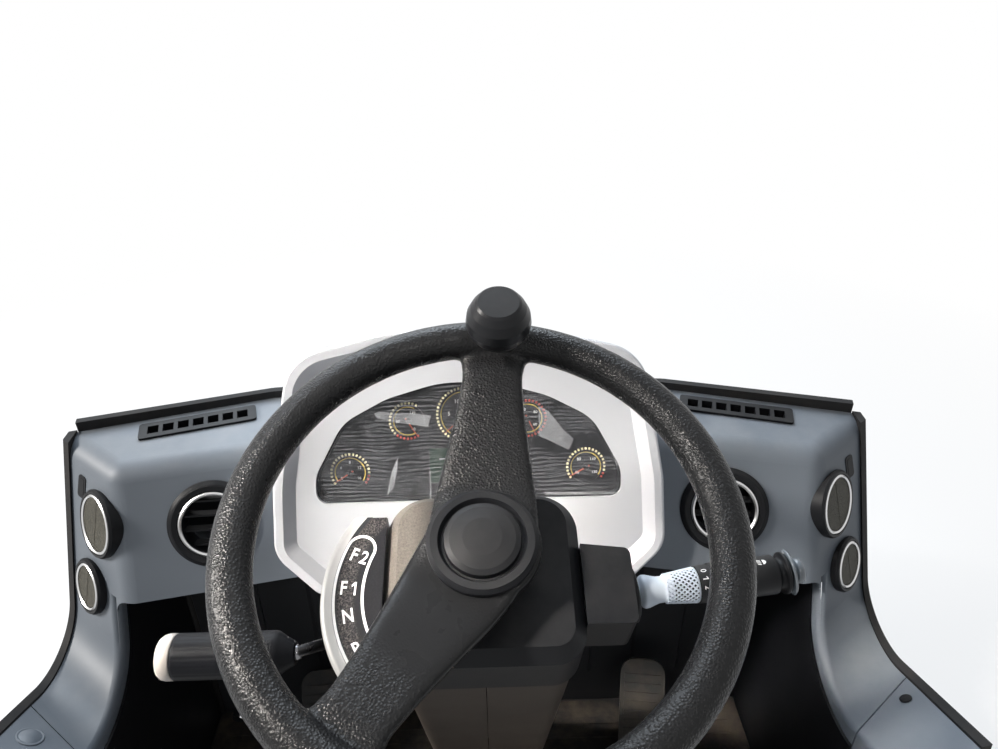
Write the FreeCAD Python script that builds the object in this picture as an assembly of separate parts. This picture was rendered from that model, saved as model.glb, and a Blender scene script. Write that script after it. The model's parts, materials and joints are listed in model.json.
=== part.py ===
import FreeCAD, Part
import math
import os

# Operator's console of a wheel loader: the moulded dash with its two wings and
# legs, the instrument hood, and the tilting steering column with its wheel,
# levers and pedals, all standing on one floor plate.
# Millimetres. X to the operator's right, Y ahead to the windscreen, Z up.
# The origin is the middle of the four floor bolts, on the plate's underside.

V = FreeCAD.Vector
X_AXIS, Y_AXIS, Z_AXIS = V(1, 0, 0), V(0, 1, 0), V(0, 0, 1)
FAR = 3000.0

# Fits
SEAT = 0.3          # gap between a piece and the face that it sits on
RUN = 0.05          # radial clearance of a turning fit
MOVE = 6.0          # room between a moving piece and its neighbours

# Floor
PLATE_T, PLATE_R = 6.0, 20.0
BOLT_SPAN_X, BOLT_SPAN_Y, BOLT_D, BOLT_EDGE = 800.0, 430.0, 13.0, 26.0
PLATE_D = BOLT_SPAN_Y + 2 * BOLT_EDGE
MAT_T, MAT_EDGE, MAT_RIB, MAT_PITCH = 6.0, 6.0, 2.0, 24.0
FLOOR = PLATE_T + MAT_T

# Dash moulding: planes through one point on the ridge between front and wing
DASH_WALL = 4.0
RIDGE_X, RIDGE_Y, RIDGE_Z = 425.8, 91.8, 510.0
FRONT_TURN, FRONT_LEAN = 11.0, 25.0
WING_TURN, WING_LEAN = 37.0, 18.8
TOP_REAR_Y, TOP_REAR_Z, TOP_FALL = 298.0, 600.0, 3.0
SIDE_X, SIDE_Z, SIDE_LEAN, SIDE_FOOT_X = 526.0, 340.0, 5.3, 536.0
SCREEN_KNEE_X, SCREEN_KNEE_Y = 266.0, 275.0
SCREEN_CORNER_X, SCREEN_CORNER_Y = 502.0, 209.0
LIP_Z, LIP_R = 440.0, 18.0
RIDGE_R, TOP_R = 34.0, 30.0
LEG_X, LEG_R = 440.0, 8.0     # a leg's inner face and the edge in front of it
PLATE_W = 2 * SIDE_FOOT_X

# Sill part of each leg and the trim that carries it on
SILL_Y, SILL_Z = -40.0, 370.0     # where its plane passes the side, above SIDE_Z
SILL_TURN, SILL_LEAN, SILL_R = 43.8, 55.3, 60.0
SEAM_X, SEAM_Y, SEAM_TURN, SEAM_GAP = 521.0, -20.0, 35.6, 1.0
TRIM_END_Y = -150.0

# Seals along the glass
SEAL_T, SEAL_UP, SEAL_DOWN, SEAL_IN, SEAL_FOOT = 10.0, 9.0, 26.0, 12.0, 52.0

# Panels and frame behind the dash
KICK_T, KICK_FLANGE, KICK_TOP = 3.0, 14.0, 520.0
KICK_Y = PLATE_D / 2 - KICK_T - KICK_FLANGE
SWAGE_W, SWAGE_Z0, SWAGE_Z1, SWAGE_OUT, SWAGE_WALL = 80.0, 80.0, 330.0, 5.0, 4.0
LINING_T, LINING_SET = 3.0, 20.0
KNEE_T, KNEE_LIFT = 3.0, 5.0
BEAM_D, BEAM_H, BEAM_WALL = 40.0, 36.0, 3.0

# Air outlets in the front: place, then sizes
VENT_X, VENT_Z = 317.6, 517.3
VENT_R, VENT_RING_R, VENT_RING_W, VENT_DEPTH = 54.0, 40.5, 4.0, 36.0
VENT_RISE, VENT_SLATS, SLAT_T, SLAT_D = 8.0, 4, 2.4, 22.0
# Air outlets in the wings: X, Z and outer radius of each, from the top down.
# They are turned a little farther outward than the wing is.
WING_VENTS = {"upper": (459.0, 518.0, 43.5), "lower": (486.0, 430.3, 36.4)}
WING_VENT_TURN, WING_VENT_LEAN = 44.0, 18.0
WING_VENT_RISE, WING_VENT_DEPTH, WING_RING_W, WING_FLANGE = 6.3, 26.0, 3.5, 5.0

# Defroster grilles in the top
GRILLE_L, GRILLE_W, GRILLE_T, GRILLE_DEEP = 145.0, 32.0, 3.0, 16.0
GRILLE_X, GRILLE_Y, GRILLE_TURN = 352.0, 221.0, 15.5
GRILLE_FINS, GRILLE_FIN_T, GRILLE_RIM = 7, 5.0, 8.0

# Instrument hood: its face leans back, and heights run up the face
FACE_Y, FACE_Z, FACE_LEAN = 119.0, 630.0, 22.0
HOOD = [  # half width, height up the face, corner radius
    (184.0, -188.0, 22.0), (236.0, -137.0, 40.0), (233.0, -50.0, 120.0),
    (208.0, 103.0, 62.0), (85.0, 131.0, 200.0),
]
HOOD_DEPTH, HOOD_TAPER, HOOD_WALL, HOOD_REAR_R = 120.0, 30.0, 4.0, 18.0
BAND_W, BEVEL_W, BEVEL_D = 13.0, 13.0, 12.0
CLUSTER = [
    (183.0, -76.0, 14.0), (183.0, -42.0, 40.0), (148.0, 22.0, 60.0),
    (95.0, 50.0, 110.0), (32.0, 68.0, 150.0),
]
CLUSTER_RIM, CLUSTER_DEPTH, LENS_T, DIAL_T, DIAL_DROP = 8.0, 44.0, 2.5, 2.0, 10.0
GAUGES = [  # across, up the face, radius
    (-144.0, -42.0, 21.0), (-72.0, 20.0, 20.0), (-4.0, 26.0, 31.0),
    (72.0, 20.0, 20.0), (142.0, -42.0, 21.0),
]
GAUGE_RING_W, GAUGE_RING_H, GAUGE_HUB_R = 1.6, 1.6, 4.0
SCREEN_X0, SCREEN_X1, SCREEN_Y0, SCREEN_Y1 = -48.0, 52.0, -58.0, -14.0

# Steering column: U across, V ahead along the wheel, H up the wheel's axis
WHEEL_X, WHEEL_Y, WHEEL_Z, WHEEL_LEAN = 16.0, -178.0, 760.0, 22.6
WHEEL_R, RIM_R = 200.0, 16.3
HUB_R, HUB_H, HUB_T, BOSS_R, BOSS_DROP = 46.0, -22.0, 15.0, 27.0, 17.0
SPOKE_ANGLES = (-4.4, 146.0)   # from straight ahead, anticlockwise from above
SPOKE_HUB_W, SPOKE_MID_W, SPOKE_RIM_W, SPOKE_FLARE_W = 88.0, 68.0, 50.0, 96.0
SPOKE_MID_R, SPOKE_T = 85.0, 15.0
HORN_RING_R, HORN_CAP_R, HORN_H = 43.0, 30.4, 13.0
KNOB_ANGLE, KNOB_R, KNOB_RAD, KNOB_FLAT_R = -5.9, 168.0, 27.5, 17.0
KNOB_H0, KNOB_H1, KNOB_PIN_R, KNOB_BASE_R = 27.0, 68.0, 6.0, 14.0
SHAFT_R, SHAFT_LEN = 10.0, 480.0

HEAD = [  # corner across, corner ahead, radius
    (80.0, 66.0, 34.0), (80.0, -78.0, 26.0), (-80.0, -78.0, 26.0), (-80.0, 66.0, 34.0),
]
HEAD_TOP, HEAD_BOTTOM, HEAD_WALL, HEAD_CROWN = -60.0, -132.0, 3.0, 10.0
TUBE_R, TUBE_WALL, TUBE_FLANGE_R, TUBE_FLANGE_T, BEARING_L = 25.0, 3.0, 48.0, 6.0, 30.0
PIVOT_H = -740.0
COVER_BOTTOM, COVER_TAPER, COVER_WALL, COVER_LAP, COVER_SEAM = -690.0, 13.0, 3.0, 10.0, 0.6
COVER_RIBS, COVER_RIB_T = (-320.0, -600.0), 4.0
EYE_R, EYE_HALF, PIN_R, EAR_T, EAR_R = 22.0, 33.0, 8.0, 8.0, 26.0
FOOT_W, FOOT_D, FOOT_T = 170.0, 130.0, 8.0

# Shift quadrant on the left of the head and its lever
POD_R, POD_U, POD_V = 112.0, -18.0, -20.0
POD_V0, POD_V1, POD_WALL = -84.0, 45.0, 3.0
POD_TOP, POD_BOTTOM, POD_EDGE = -64.0, -120.0, 13.0
LEVER_U, LEVER_V, LEVER_H, LEVER_AIM = -98.0, -39.7, -98.0, 16.0
LEVER_ROD_R, LEVER_HUB_R, GRIP_R, GRIP_U0, GRIP_U1 = 4.5, 9.0, 18.0, -153.0, -262.0
LEVER_SLOT = (-74.0, -12.0)

# Switch pod and stalk on the right of the head
SWITCH_U, SWITCH_V0, SWITCH_V1 = 121.0, -50.0, 17.0
SWITCH_TOP, SWITCH_BOTTOM = -66.0, -122.0
STALK_U, STALK_V, STALK_H, STALK_AIM = 102.0, -17.0, -98.0, 6.0
STALK_NECK_R, STALK_R, STALK_HOLE_R = 7.0, 17.0, 16.0
STALK_GRIP_U, STALK_BODY_U, STALK_END_U = 132.0, 190.0, 250.0

# Treadle pedals: heel X, width, and the turn of its line to the outside
PEDALS = {"brake": (-212.0, 108.0, -4.0), "throttle": (248.0, 68.0, 8.0)}
PEDAL_Y, PEDAL_Z, PEDAL_RISE = 92.0, 36.0, 52.0
PEDAL_L, PEDAL_T, PEDAL_RIB, PEDAL_RIBS, PEDAL_R = 152.0, 8.0, 2.5, 9, 22.0
PEDAL_EYE_R, PEDAL_PIN_R, PEDAL_EAR_T, PEDAL_FOOT_T = 9.0, 5.0, 5.0, 5.0


def sind(a):
    return math.sin(math.radians(a))


def cosd(a):
    return math.cos(math.radians(a))


def block(x0, x1, y0, y1, z0, z1):
    return Part.makeBox(abs(x1 - x0), abs(y1 - y0), abs(z1 - z0),
                        V(min(x0, x1), min(y0, y1), min(z0, z1)))


def cylinder(radius, start, end):
    return Part.makeCylinder(radius, (end - start).Length, start, end - start)


def fuse(first, *others):
    for other in others:
        first = first.fuse(other)
    return first.removeSplitter()


def mirrored(shape):
    return shape.mirror(V(0, 0, 0), X_AXIS)


def keep_below(shape, point, normal):
    """Cuts away what lies on the normal's side of the plane through the point."""
    cutter = Part.makeBox(FAR, FAR, FAR, V(-FAR / 2, -FAR / 2, 0))
    cutter.Placement = FreeCAD.Placement(point, FreeCAD.Rotation(Z_AXIS, normal))
    return shape.cut(cutter)


def inset(corners, distance, least=0.5):
    """Moves each side of an anticlockwise outline inward and trims its radii to suit."""
    count = len(corners)
    lines = []
    for i in range(count):
        ax, ay, _ = corners[i]
        bx, by, _ = corners[(i + 1) % count]
        length = math.hypot(bx - ax, by - ay)
        nx, ny = -(by - ay) / length, (bx - ax) / length
        lines.append((ax + nx * distance, ay + ny * distance, bx - ax, by - ay))
    result = []
    for i in range(count):
        px, py, pdx, pdy = lines[i - 1]
        qx, qy, qdx, qdy = lines[i]
        along = ((qx - px) * qdy - (qy - py) * qdx) / (pdx * qdy - pdy * qdx)
        result.append((px + pdx * along, py + pdy * along, max(corners[i][2] - distance, least)))
    return result


def rounded(corners, z=0.0):
    """A closed wire with an arc of the given radius at each (x, y, radius) corner."""
    count = len(corners)
    arcs = []
    for i in range(count):
        here = V(corners[i][0], corners[i][1], z)
        before = (V(corners[i - 1][0], corners[i - 1][1], z) - here).normalize()
        after = (V(corners[(i + 1) % count][0], corners[(i + 1) % count][1], z) - here).normalize()
        half = before.getAngle(after) / 2
        radius = corners[i][2]
        reach = radius / math.tan(half)
        middle = (before + after).normalize()
        tip = here + middle * (radius / math.sin(half) - radius)
        arcs.append((here + before * reach, tip, here + after * reach))
    edges = []
    for i in range(count):
        start, tip, end = arcs[i]
        edges.append(Part.Arc(start, tip, end).toShape())
        edges.append(Part.LineSegment(end, arcs[(i + 1) % count][0]).toShape())
    return Part.Wire(edges)


def slab(corners, z0, z1):
    return Part.Face(rounded(corners, z0)).extrude(V(0, 0, z1 - z0))


def tapered(corners, z0, z1, inset0, inset1, least=0.5):
    low, high = inset(corners, inset0, least), inset(corners, inset1, least)
    return Part.makeLoft([rounded(low, z0), rounded(high, z1)], True, True)


def rectangle(x0, x1, y0, y1, radius):
    return [(x0, y0, radius), (x1, y0, radius), (x1, y1, radius), (x0, y1, radius)]


def both_halves(corners):
    """The whole outline, anticlockwise, from the corners of its right half."""
    return list(corners) + [(-x, y, r) for x, y, r in reversed(corners)]


def turned(profile):
    """Revolves a closed list of (radius, height) points about Z."""
    points = [V(r, 0, z) for r, z in profile]
    wire = Part.makePolygon(points + points[:1])
    return Part.Face(wire).revolve(V(0, 0, 0), Z_AXIS, 360)


def edges_near(shape, test):
    return [edge for edge in shape.Edges if test(edge)]


def middle_of(edge):
    return edge.valueAt((edge.FirstParameter + edge.LastParameter) / 2)


def frame_on(point, normal, across):
    """A placement whose Z is the normal and whose X runs as near to across as it can."""
    z = V(normal).normalize()
    x = (across - z * across.dot(z)).normalize()
    return FreeCAD.Placement(point, FreeCAD.Rotation(x, z.cross(x), z, "ZXY"))


def at(placement, shape):
    moved = shape.copy()
    moved.Placement = placement.multiply(moved.Placement)
    return moved


# Places that several pieces share
FRONT_NORMAL = V(-sind(FRONT_TURN) * cosd(FRONT_LEAN), -cosd(FRONT_TURN) * cosd(FRONT_LEAN),
                 sind(FRONT_LEAN))
WING_NORMAL = V(sind(WING_TURN) * cosd(WING_LEAN), -cosd(WING_TURN) * cosd(WING_LEAN),
                sind(WING_LEAN))
TOP_NORMAL = V(0, -sind(TOP_FALL), cosd(TOP_FALL))
SIDE_NORMAL = V(cosd(SIDE_LEAN), 0, sind(SIDE_LEAN))
SILL_NORMAL = V(-cosd(SILL_TURN) * cosd(SILL_LEAN), sind(SILL_TURN) * cosd(SILL_LEAN),
                sind(SILL_LEAN))
WING_VENT_NORMAL = V(sind(WING_VENT_TURN) * cosd(WING_VENT_LEAN),
                     -cosd(WING_VENT_TURN) * cosd(WING_VENT_LEAN), sind(WING_VENT_LEAN))
RIDGE = V(RIDGE_X, RIDGE_Y, RIDGE_Z)
SILL = V(SIDE_X - (SILL_Z - SIDE_Z) * math.tan(math.radians(SIDE_LEAN)), SILL_Y, SILL_Z)


def on_plane_y(point, normal, x, z):
    """The Y at which a plane passes a given X and Z."""
    return point.y - (normal.x * (x - point.x) + normal.z * (z - point.z)) / normal.y


SCREEN_MID = V(0, TOP_REAR_Y, TOP_REAR_Z)
SCREEN_KNEE = V(SCREEN_KNEE_X, SCREEN_KNEE_Y, TOP_REAR_Z)
SCREEN_CORNER = V(SCREEN_CORNER_X, SCREEN_CORNER_Y, TOP_REAR_Z)
SCREEN_NORMALS = [(start, (end - start).cross(V(0, 0, -1)).normalize())
                  for start, end in ((SCREEN_MID, SCREEN_KNEE), (SCREEN_KNEE, SCREEN_CORNER))]


def inside_walls(shape, side):
    """Trims a block to the cab's side: it leans in above and is upright at the foot."""
    shape = keep_below(shape, V(SIDE_X, 0, SIDE_Z) + SIDE_NORMAL * side, SIDE_NORMAL)
    return keep_below(shape, V(SIDE_FOOT_X + side, 0, 0), X_AXIS)


def closed_in(shape, grow, side, rear):
    """Trims a block to the wing, side, top and windscreen planes, each moved outward."""
    shape = keep_below(shape, RIDGE + WING_NORMAL * grow, WING_NORMAL)
    shape = inside_walls(shape, side)
    shape = keep_below(shape, V(0, TOP_REAR_Y, TOP_REAR_Z) + TOP_NORMAL * grow, TOP_NORMAL)
    for point, normal in SCREEN_NORMALS:
        shape = keep_below(shape, point + normal * rear, normal)
    return shape


def dash_upper(grow, side, rear, bottom):
    """Right half of the dash above the lip, with its visible planes moved outward."""
    shape = closed_in(block(0, FAR / 4, -FAR / 4, FAR / 4, bottom, FAR / 3), grow, side, rear)
    shape = keep_below(shape, RIDGE + FRONT_NORMAL * grow, FRONT_NORMAL)
    ridge_way = FRONT_NORMAL.cross(WING_NORMAL).normalize()
    ridge = edges_near(shape, lambda e: abs(e.tangentAt(e.FirstParameter).dot(ridge_way)) > 0.9999)
    shape = shape.makeFillet(RIDGE_R + grow, ridge)
    brow = edges_near(shape, lambda e: on_top(e, grow) and in_front(e))
    return shape.makeFillet(TOP_R + grow, brow)


def on_top(edge, grow):
    offset = (middle_of(edge) - V(0, TOP_REAR_Y, TOP_REAR_Z)).dot(TOP_NORMAL) - grow
    return abs(offset) < 0.01 and abs(edge.tangentAt(edge.FirstParameter).dot(TOP_NORMAL)) < 0.01


def in_front(edge):
    """True for the edges of the top that face the operator, not the glass or the middle."""
    spot = middle_of(edge)
    gaps = [abs((spot - point).dot(normal)) for point, normal in SCREEN_NORMALS]
    return spot.x > 1.0 and min(gaps) > 20.0


def dash_leg(grow, side, rear, bottom, inner, end):
    """A right-hand leg, curving out at its foot into the sill."""
    spare = 2 * SILL_R
    tall = block(inner, FAR / 4, end - spare, FAR / 4, bottom, LIP_Z + spare)
    tall = closed_in(tall, grow, side, rear)
    sill = block(inner, FAR / 4, end - spare, SILL.y + 2 * spare, bottom, LIP_Z + spare)
    sill = inside_walls(sill, side)
    sill = keep_below(sill, SILL + SILL_NORMAL * grow, SILL_NORMAL)
    leg = fuse(tall, sill.common(block(0, FAR, end - spare, SCREEN_CORNER_Y - 10, -FAR, LIP_Z)))
    bend_way = WING_NORMAL.cross(SILL_NORMAL).normalize()
    bend = edges_near(leg, lambda e: abs(e.tangentAt(e.FirstParameter).dot(bend_way)) > 0.9999)
    leg = leg.makeFillet(SILL_R - grow, bend)
    return leg.common(block(inner, FAR / 4, end, FAR / 4, bottom, LIP_Z))


def soften_leg(leg):
    """Rounds the leg's edge between its inner face and the wing, bend and sill."""
    def along_edge(edge):
        spot = middle_of(edge)
        faced = abs(spot.x - LEG_X) < 0.01 and spot.z < LIP_Z - 1
        return faced and PLATE_T + 1 < spot.z and TRIM_END_Y + 1 < spot.y < SCREEN_CORNER_Y - 20
    return leg.makeFillet(LEG_R, edges_near(leg, along_edge))


def split_at_seam(shape, ahead):
    way = V(-sind(SEAM_TURN), cosd(SEAM_TURN), 0)
    normal = way * (-1 if ahead else 1)
    return keep_below(shape, V(SEAM_X, SEAM_Y, 0) + normal * (-SEAM_GAP / 2), normal)


def leg_shell():
    outer = soften_leg(dash_leg(0, 0, 0, PLATE_T, LEG_X, TRIM_END_Y))
    inner = dash_leg(-DASH_WALL, -DASH_WALL, 1, -1, LEG_X + DASH_WALL, TRIM_END_Y + DASH_WALL)
    return outer, inner


def wing_frame(x, z):
    spot = V(x, on_plane_y(RIDGE, WING_NORMAL, x, z), z)
    return frame_on(spot, WING_VENT_NORMAL, V(1, 1, 0))


def front_frame(x, z):
    return frame_on(V(x, on_plane_y(RIDGE, FRONT_NORMAL, x, z), z), FRONT_NORMAL, X_AXIS)


def grille_frame():
    z = TOP_REAR_Z + (GRILLE_Y - TOP_REAR_Y) * math.tan(math.radians(TOP_FALL))
    way = V(cosd(GRILLE_TURN), -sind(GRILLE_TURN), 0)
    return frame_on(V(GRILLE_X, GRILLE_Y, z), TOP_NORMAL, way)


def lip_corner(inner_upper):
    """The rounded corner of the footwell's opening, between the lip and the leg."""
    corner = block(LEG_X - LIP_R, LEG_X, -FAR, SCREEN_CORNER_Y, LIP_Z - LIP_R, LIP_Z)
    round_cut = cylinder(LIP_R, V(LEG_X - LIP_R, -FAR, LIP_Z - LIP_R),
                         V(LEG_X - LIP_R, FAR, LIP_Z - LIP_R))
    return dash_upper(0, 0, 0, LIP_Z - LIP_R).common(corner.cut(round_cut)).cut(inner_upper)


def dash_half():
    outer_leg, inner_leg = leg_shell()
    outer = fuse(dash_upper(0, 0, 0, LIP_Z), split_at_seam(outer_leg, True))
    inner_upper = dash_upper(-DASH_WALL, -DASH_WALL, 1, -1)
    corner = lip_corner(inner_upper)
    inner_upper = inner_upper.cut(block(-1, LEG_X + DASH_WALL, -FAR, FAR, -FAR, LIP_Z - 1))
    half = fuse(outer.cut(inner_upper).cut(inner_leg), corner)
    hole = cylinder(VENT_R - 7.0, V(0, 0, -30), V(0, 0, 30))
    half = half.cut(at(front_frame(VENT_X, VENT_Z), hole))
    for x, z, radius in WING_VENTS.values():
        hole = cylinder(radius - WING_FLANGE, V(0, 0, -30), V(0, 0, 30))
        half = half.cut(at(wing_frame(x, z), hole))
    slot = block(-GRILLE_L / 2 + 5, GRILLE_L / 2 - 5, -GRILLE_W / 2 + 5, GRILLE_W / 2 - 5, -30, 30)
    return half.cut(at(grille_frame(), slot))


def dash_shell():
    half = dash_half()
    return fuse(half, mirrored(half))


def side_trim():
    outer, inner = leg_shell()
    trim = split_at_seam(outer, False).cut(inner)
    return trim


def floor_plate():
    plate = slab(rectangle(-PLATE_W / 2, PLATE_W / 2, -PLATE_D / 2, PLATE_D / 2, PLATE_R),
                 0, PLATE_T)
    for x in (-BOLT_SPAN_X / 2, BOLT_SPAN_X / 2):
        for y in (-BOLT_SPAN_Y / 2, BOLT_SPAN_Y / 2):
            plate = plate.cut(cylinder(BOLT_D / 2, V(x, y, -1), V(x, y, PLATE_T + 1)))
    return plate


def floor_mat():
    half_w = LEG_X - MAT_EDGE
    y0, y1 = -PLATE_D / 2 + MAT_EDGE, KICK_Y - MAT_EDGE
    mat = slab(rectangle(-half_w, half_w, y0, y1, 12.0), PLATE_T, PLATE_T + MAT_T - MAT_RIB)
    count = int((y1 - y0 - 2 * MAT_PITCH) // MAT_PITCH)
    for i in range(count + 1):
        y = y0 + MAT_PITCH + i * MAT_PITCH
        mat = mat.fuse(block(-half_w + 20, half_w - 20, y, y + MAT_PITCH / 2,
                             PLATE_T + MAT_T - MAT_RIB - 0.5, PLATE_T + MAT_T))
    for x in (-BOLT_SPAN_X / 2, BOLT_SPAN_X / 2):
        for y in (-BOLT_SPAN_Y / 2, BOLT_SPAN_Y / 2):
            mat = mat.cut(cylinder(BOLT_D * 1.3, V(x, y, 0), V(x, y, FLOOR + 1)))
    foot = pivot_place()
    mat = mat.cut(block(foot.x - FOOT_W / 2 - 3, foot.x + FOOT_W / 2 + 3,
                        foot.y - FOOT_D / 2 - 3, foot.y + FOOT_D / 2 + 3, 0, FLOOR + 1))
    for heel_x, width, turn in PEDALS.values():
        pocket = block(-width / 2 - 16, width / 2 + 16, -36, 30, 0, FLOOR + 1)
        mat = mat.cut(at(pedal_ground(heel_x, turn), pocket))
    return mat.removeSplitter()


def kick_panel():
    """The footwell's front wall: a sheet with raised fields and a foot on the plate."""
    half_w = LEG_X - LINING_T - 2 * SEAT
    back = KICK_Y + KICK_T
    panel = block(-half_w, half_w, KICK_Y, back, PLATE_T, KICK_TOP)
    flange = block(-half_w, half_w, back, PLATE_D / 2, PLATE_T, PLATE_T + KICK_T)
    out = KICK_Y - SWAGE_OUT
    for i in range(-2, 3):
        x = i * half_w / 3
        x0, x1 = x - SWAGE_W / 2, x + SWAGE_W / 2
        swage = block(x0, x1, out, KICK_Y, SWAGE_Z0, SWAGE_Z1)
        face = edges_near(swage, lambda e: middle_of(e).y < out + 0.1)
        swage = swage.makeChamfer(SWAGE_OUT - 0.5, face)
        panel = panel.fuse(swage)
        panel = panel.cut(block(x0 + SWAGE_WALL, x1 - SWAGE_WALL, out + SWAGE_WALL - 1, back,
                                SWAGE_Z0 + SWAGE_WALL, SWAGE_Z1 - SWAGE_WALL))
    return fuse(panel, flange)


def footwell_lining():
    """The black lining of a leg's inner face, from behind its edge to the kick panel."""
    x1 = LEG_X - SEAT
    x0 = x1 - LINING_T
    lining = dash_leg(-LINING_SET, 0, 0, PLATE_T, x0, TRIM_END_Y)
    lining = lining.common(block(x0, x1, -FAR, KICK_Y - SEAT, 0, LIP_Z))
    return split_at_seam(lining, True)


def knee_panel():
    """The lid over the footwell, inside the dash's lip."""
    z0 = LIP_Z + KNEE_LIFT
    inside = -DASH_WALL - SEAT
    base = dash_upper(inside, inside, 0, z0)
    base = base.common(block(0, LEG_X, -FAR, KICK_Y - SEAT, z0, z0 + KNEE_T))
    return fuse(base, mirrored(base))


def cross_beam():
    top = LIP_Z + KNEE_LIFT - SEAT
    y1, y0 = KICK_Y - SEAT, KICK_Y - SEAT - BEAM_D
    half_w = LEG_X - LINING_T - 2 * SEAT
    z0, z1 = top - BEAM_H, top
    tube = block(-half_w, half_w, y0, y1, z0, z1)
    bore = block(-half_w - 1, half_w + 1, y0 + BEAM_WALL, y1 - BEAM_WALL,
                 z0 + BEAM_WALL, z1 - BEAM_WALL)
    return tube.cut(bore)


def windscreen_seal():
    """A rubber strip behind the top edge: four straight lengths that meet at the knees."""
    strips = []
    for (point, normal), end in zip(SCREEN_NORMALS, (SCREEN_KNEE, SCREEN_CORNER)):
        way = (end - point).normalize()
        length = (end - point).Length
        lift = point + normal * SEAT
        if point == SCREEN_MID:
            lift, length = lift - way * SEAL_T, length + SEAL_T
        corners = [lift, lift + way * length, lift + way * length + normal * SEAL_T,
                   lift + normal * SEAL_T]
        corners = [V(p.x, p.y, TOP_REAR_Z - SEAL_DOWN) for p in corners]
        face = Part.Face(Part.makePolygon(corners + corners[:1]))
        strips.append(face.extrude(V(0, 0, SEAL_DOWN + SEAL_UP)))
    half = strips[0]
    for strip in strips[1:]:
        half = half.fuse(strip)
    knee = SCREEN_KNEE
    first, second = SCREEN_NORMALS[0][1], SCREEN_NORMALS[1][1]
    wedge = [knee + first * SEAT, knee + first * SEAL_T, knee + second * SEAL_T,
             knee + second * SEAT]
    wedge = [V(p.x, p.y, TOP_REAR_Z - SEAL_DOWN) for p in wedge]
    wedge = Part.Face(Part.makePolygon(wedge + wedge[:1])).extrude(V(0, 0, SEAL_DOWN + SEAL_UP))
    half = half.fuse(wedge)
    half = half.common(block(0, FAR, -FAR, FAR, -FAR, FAR))
    return fuse(half, mirrored(half))


def side_seal():
    """A rubber strip along the outer edge of wing, leg and sill."""
    def bodies(grow, side_grow):
        upper = block(LEG_X, FAR / 4, TRIM_END_Y, FAR / 4, LIP_Z - 1, FAR / 3)
        upper = closed_in(upper, grow, side_grow, 0)
        leg = dash_leg(grow, side_grow, 0, -1, LEG_X, TRIM_END_Y)
        return upper, leg
    ring = fuse(*bodies(SEAL_UP / 3, SEAL_T))
    for cutter in bodies(-SEAL_IN, 3 * SEAL_T):
        ring = ring.cut(cutter)
    ring = ring.cut(block(0, FAR, -FAR, FAR, -FAR, SEAL_FOOT))
    inside = Part.makeBox(FAR, FAR, FAR, V(-FAR / 2, -FAR / 2, -FAR))
    inside.Placement = FreeCAD.Placement(V(SIDE_X, 0, SIDE_Z) + SIDE_NORMAL * SEAT,
                                         FreeCAD.Rotation(Z_AXIS, SIDE_NORMAL))
    return max(ring.cut(inside).Solids, key=lambda solid: solid.Volume)


def vent_front():
    """Round outlet: flange, barrel, spigot and level slats, in its own frame."""
    inner = VENT_RING_R - VENT_RING_W
    hole = VENT_R - 7.0 - SEAT
    shell = turned([
        (VENT_R, SEAT), (VENT_R, 3.0), (VENT_R - 4, VENT_RISE - 1), (VENT_R - 6, VENT_RISE),
        (VENT_RING_R + 1.5, VENT_RISE - 1.5), (VENT_RING_R + 0.2, VENT_RISE - 3.5),
        (inner, VENT_RISE - 3.5), (inner, -VENT_DEPTH), (inner + 3, -VENT_DEPTH),
        (inner + 3, -VENT_DEPTH / 2), (hole, -10.0), (hole, SEAT),
    ])
    for i in range(VENT_SLATS):
        y = (i - (VENT_SLATS - 1) / 2) * 2 * inner / VENT_SLATS
        slat = block(-VENT_R, VENT_R, y - SLAT_T / 2, y + SLAT_T / 2, -SLAT_D - 4, -4)
        shell = shell.fuse(slat.common(cylinder(inner + 1, V(0, 0, -SLAT_D - 5), V(0, 0, 0))))
    return shell.removeSplitter()


def vent_ring(radius, width, base, height):
    return turned([(radius, base), (radius, base + height * 0.6), (radius - width / 2, base + height),
                   (radius - width, base + height * 0.6), (radius - width, base)])


def vent_wing(place, radius, dash):
    """Round wing outlet: a drum that stands on the dash, closed by two butterfly flaps."""
    bore = radius - 6.0 - WING_RING_W
    hole = radius - WING_FLANGE - SEAT
    rise = WING_VENT_RISE
    drum = turned([
        (radius, -radius / 2), (radius, rise - 3), (radius - 2, rise), (radius - 5, rise),
        (radius - 5.5, rise - 3), (bore, rise - 3), (bore, -radius / 2),
    ])
    spigot = turned([(bore, rise - 4), (bore, -WING_VENT_DEPTH), (hole, -WING_VENT_DEPTH),
                     (hole, rise - 4)])
    flap = cylinder(bore + 1, V(0, 0, rise - 9), V(0, 0, rise - 6))
    flap = flap.cut(block(-1, 1, -radius, radius, rise - 7, rise))
    tab = block(-5, 5, -3, 3, rise - 7, rise - 2)
    return fuse(at(place, drum).cut(dash), at(place, fuse(spigot, flap, tab)))


def defroster():
    frame = slab(rectangle(-GRILLE_L / 2, GRILLE_L / 2, -GRILLE_W / 2, GRILLE_W / 2, 4.0),
                 SEAT, SEAT + GRILLE_T)
    skirt = block(-GRILLE_L / 2 + 6, GRILLE_L / 2 - 6, -GRILLE_W / 2 + 6, GRILLE_W / 2 - 6,
                  -GRILLE_DEEP, SEAT + 1)
    grille = fuse(frame, skirt)
    inner_l, inner_w = GRILLE_L - 2 * GRILLE_RIM, GRILLE_W - 2 * GRILLE_RIM
    pitch = inner_l / GRILLE_FINS
    for i in range(GRILLE_FINS):
        x0 = -inner_l / 2 + i * pitch + GRILLE_FIN_T / 2
        grille = grille.cut(block(x0, x0 + pitch - GRILLE_FIN_T, -inner_w / 2, inner_w / 2,
                                  -GRILLE_DEEP - 1, GRILLE_T + 2))
    return grille


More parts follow.
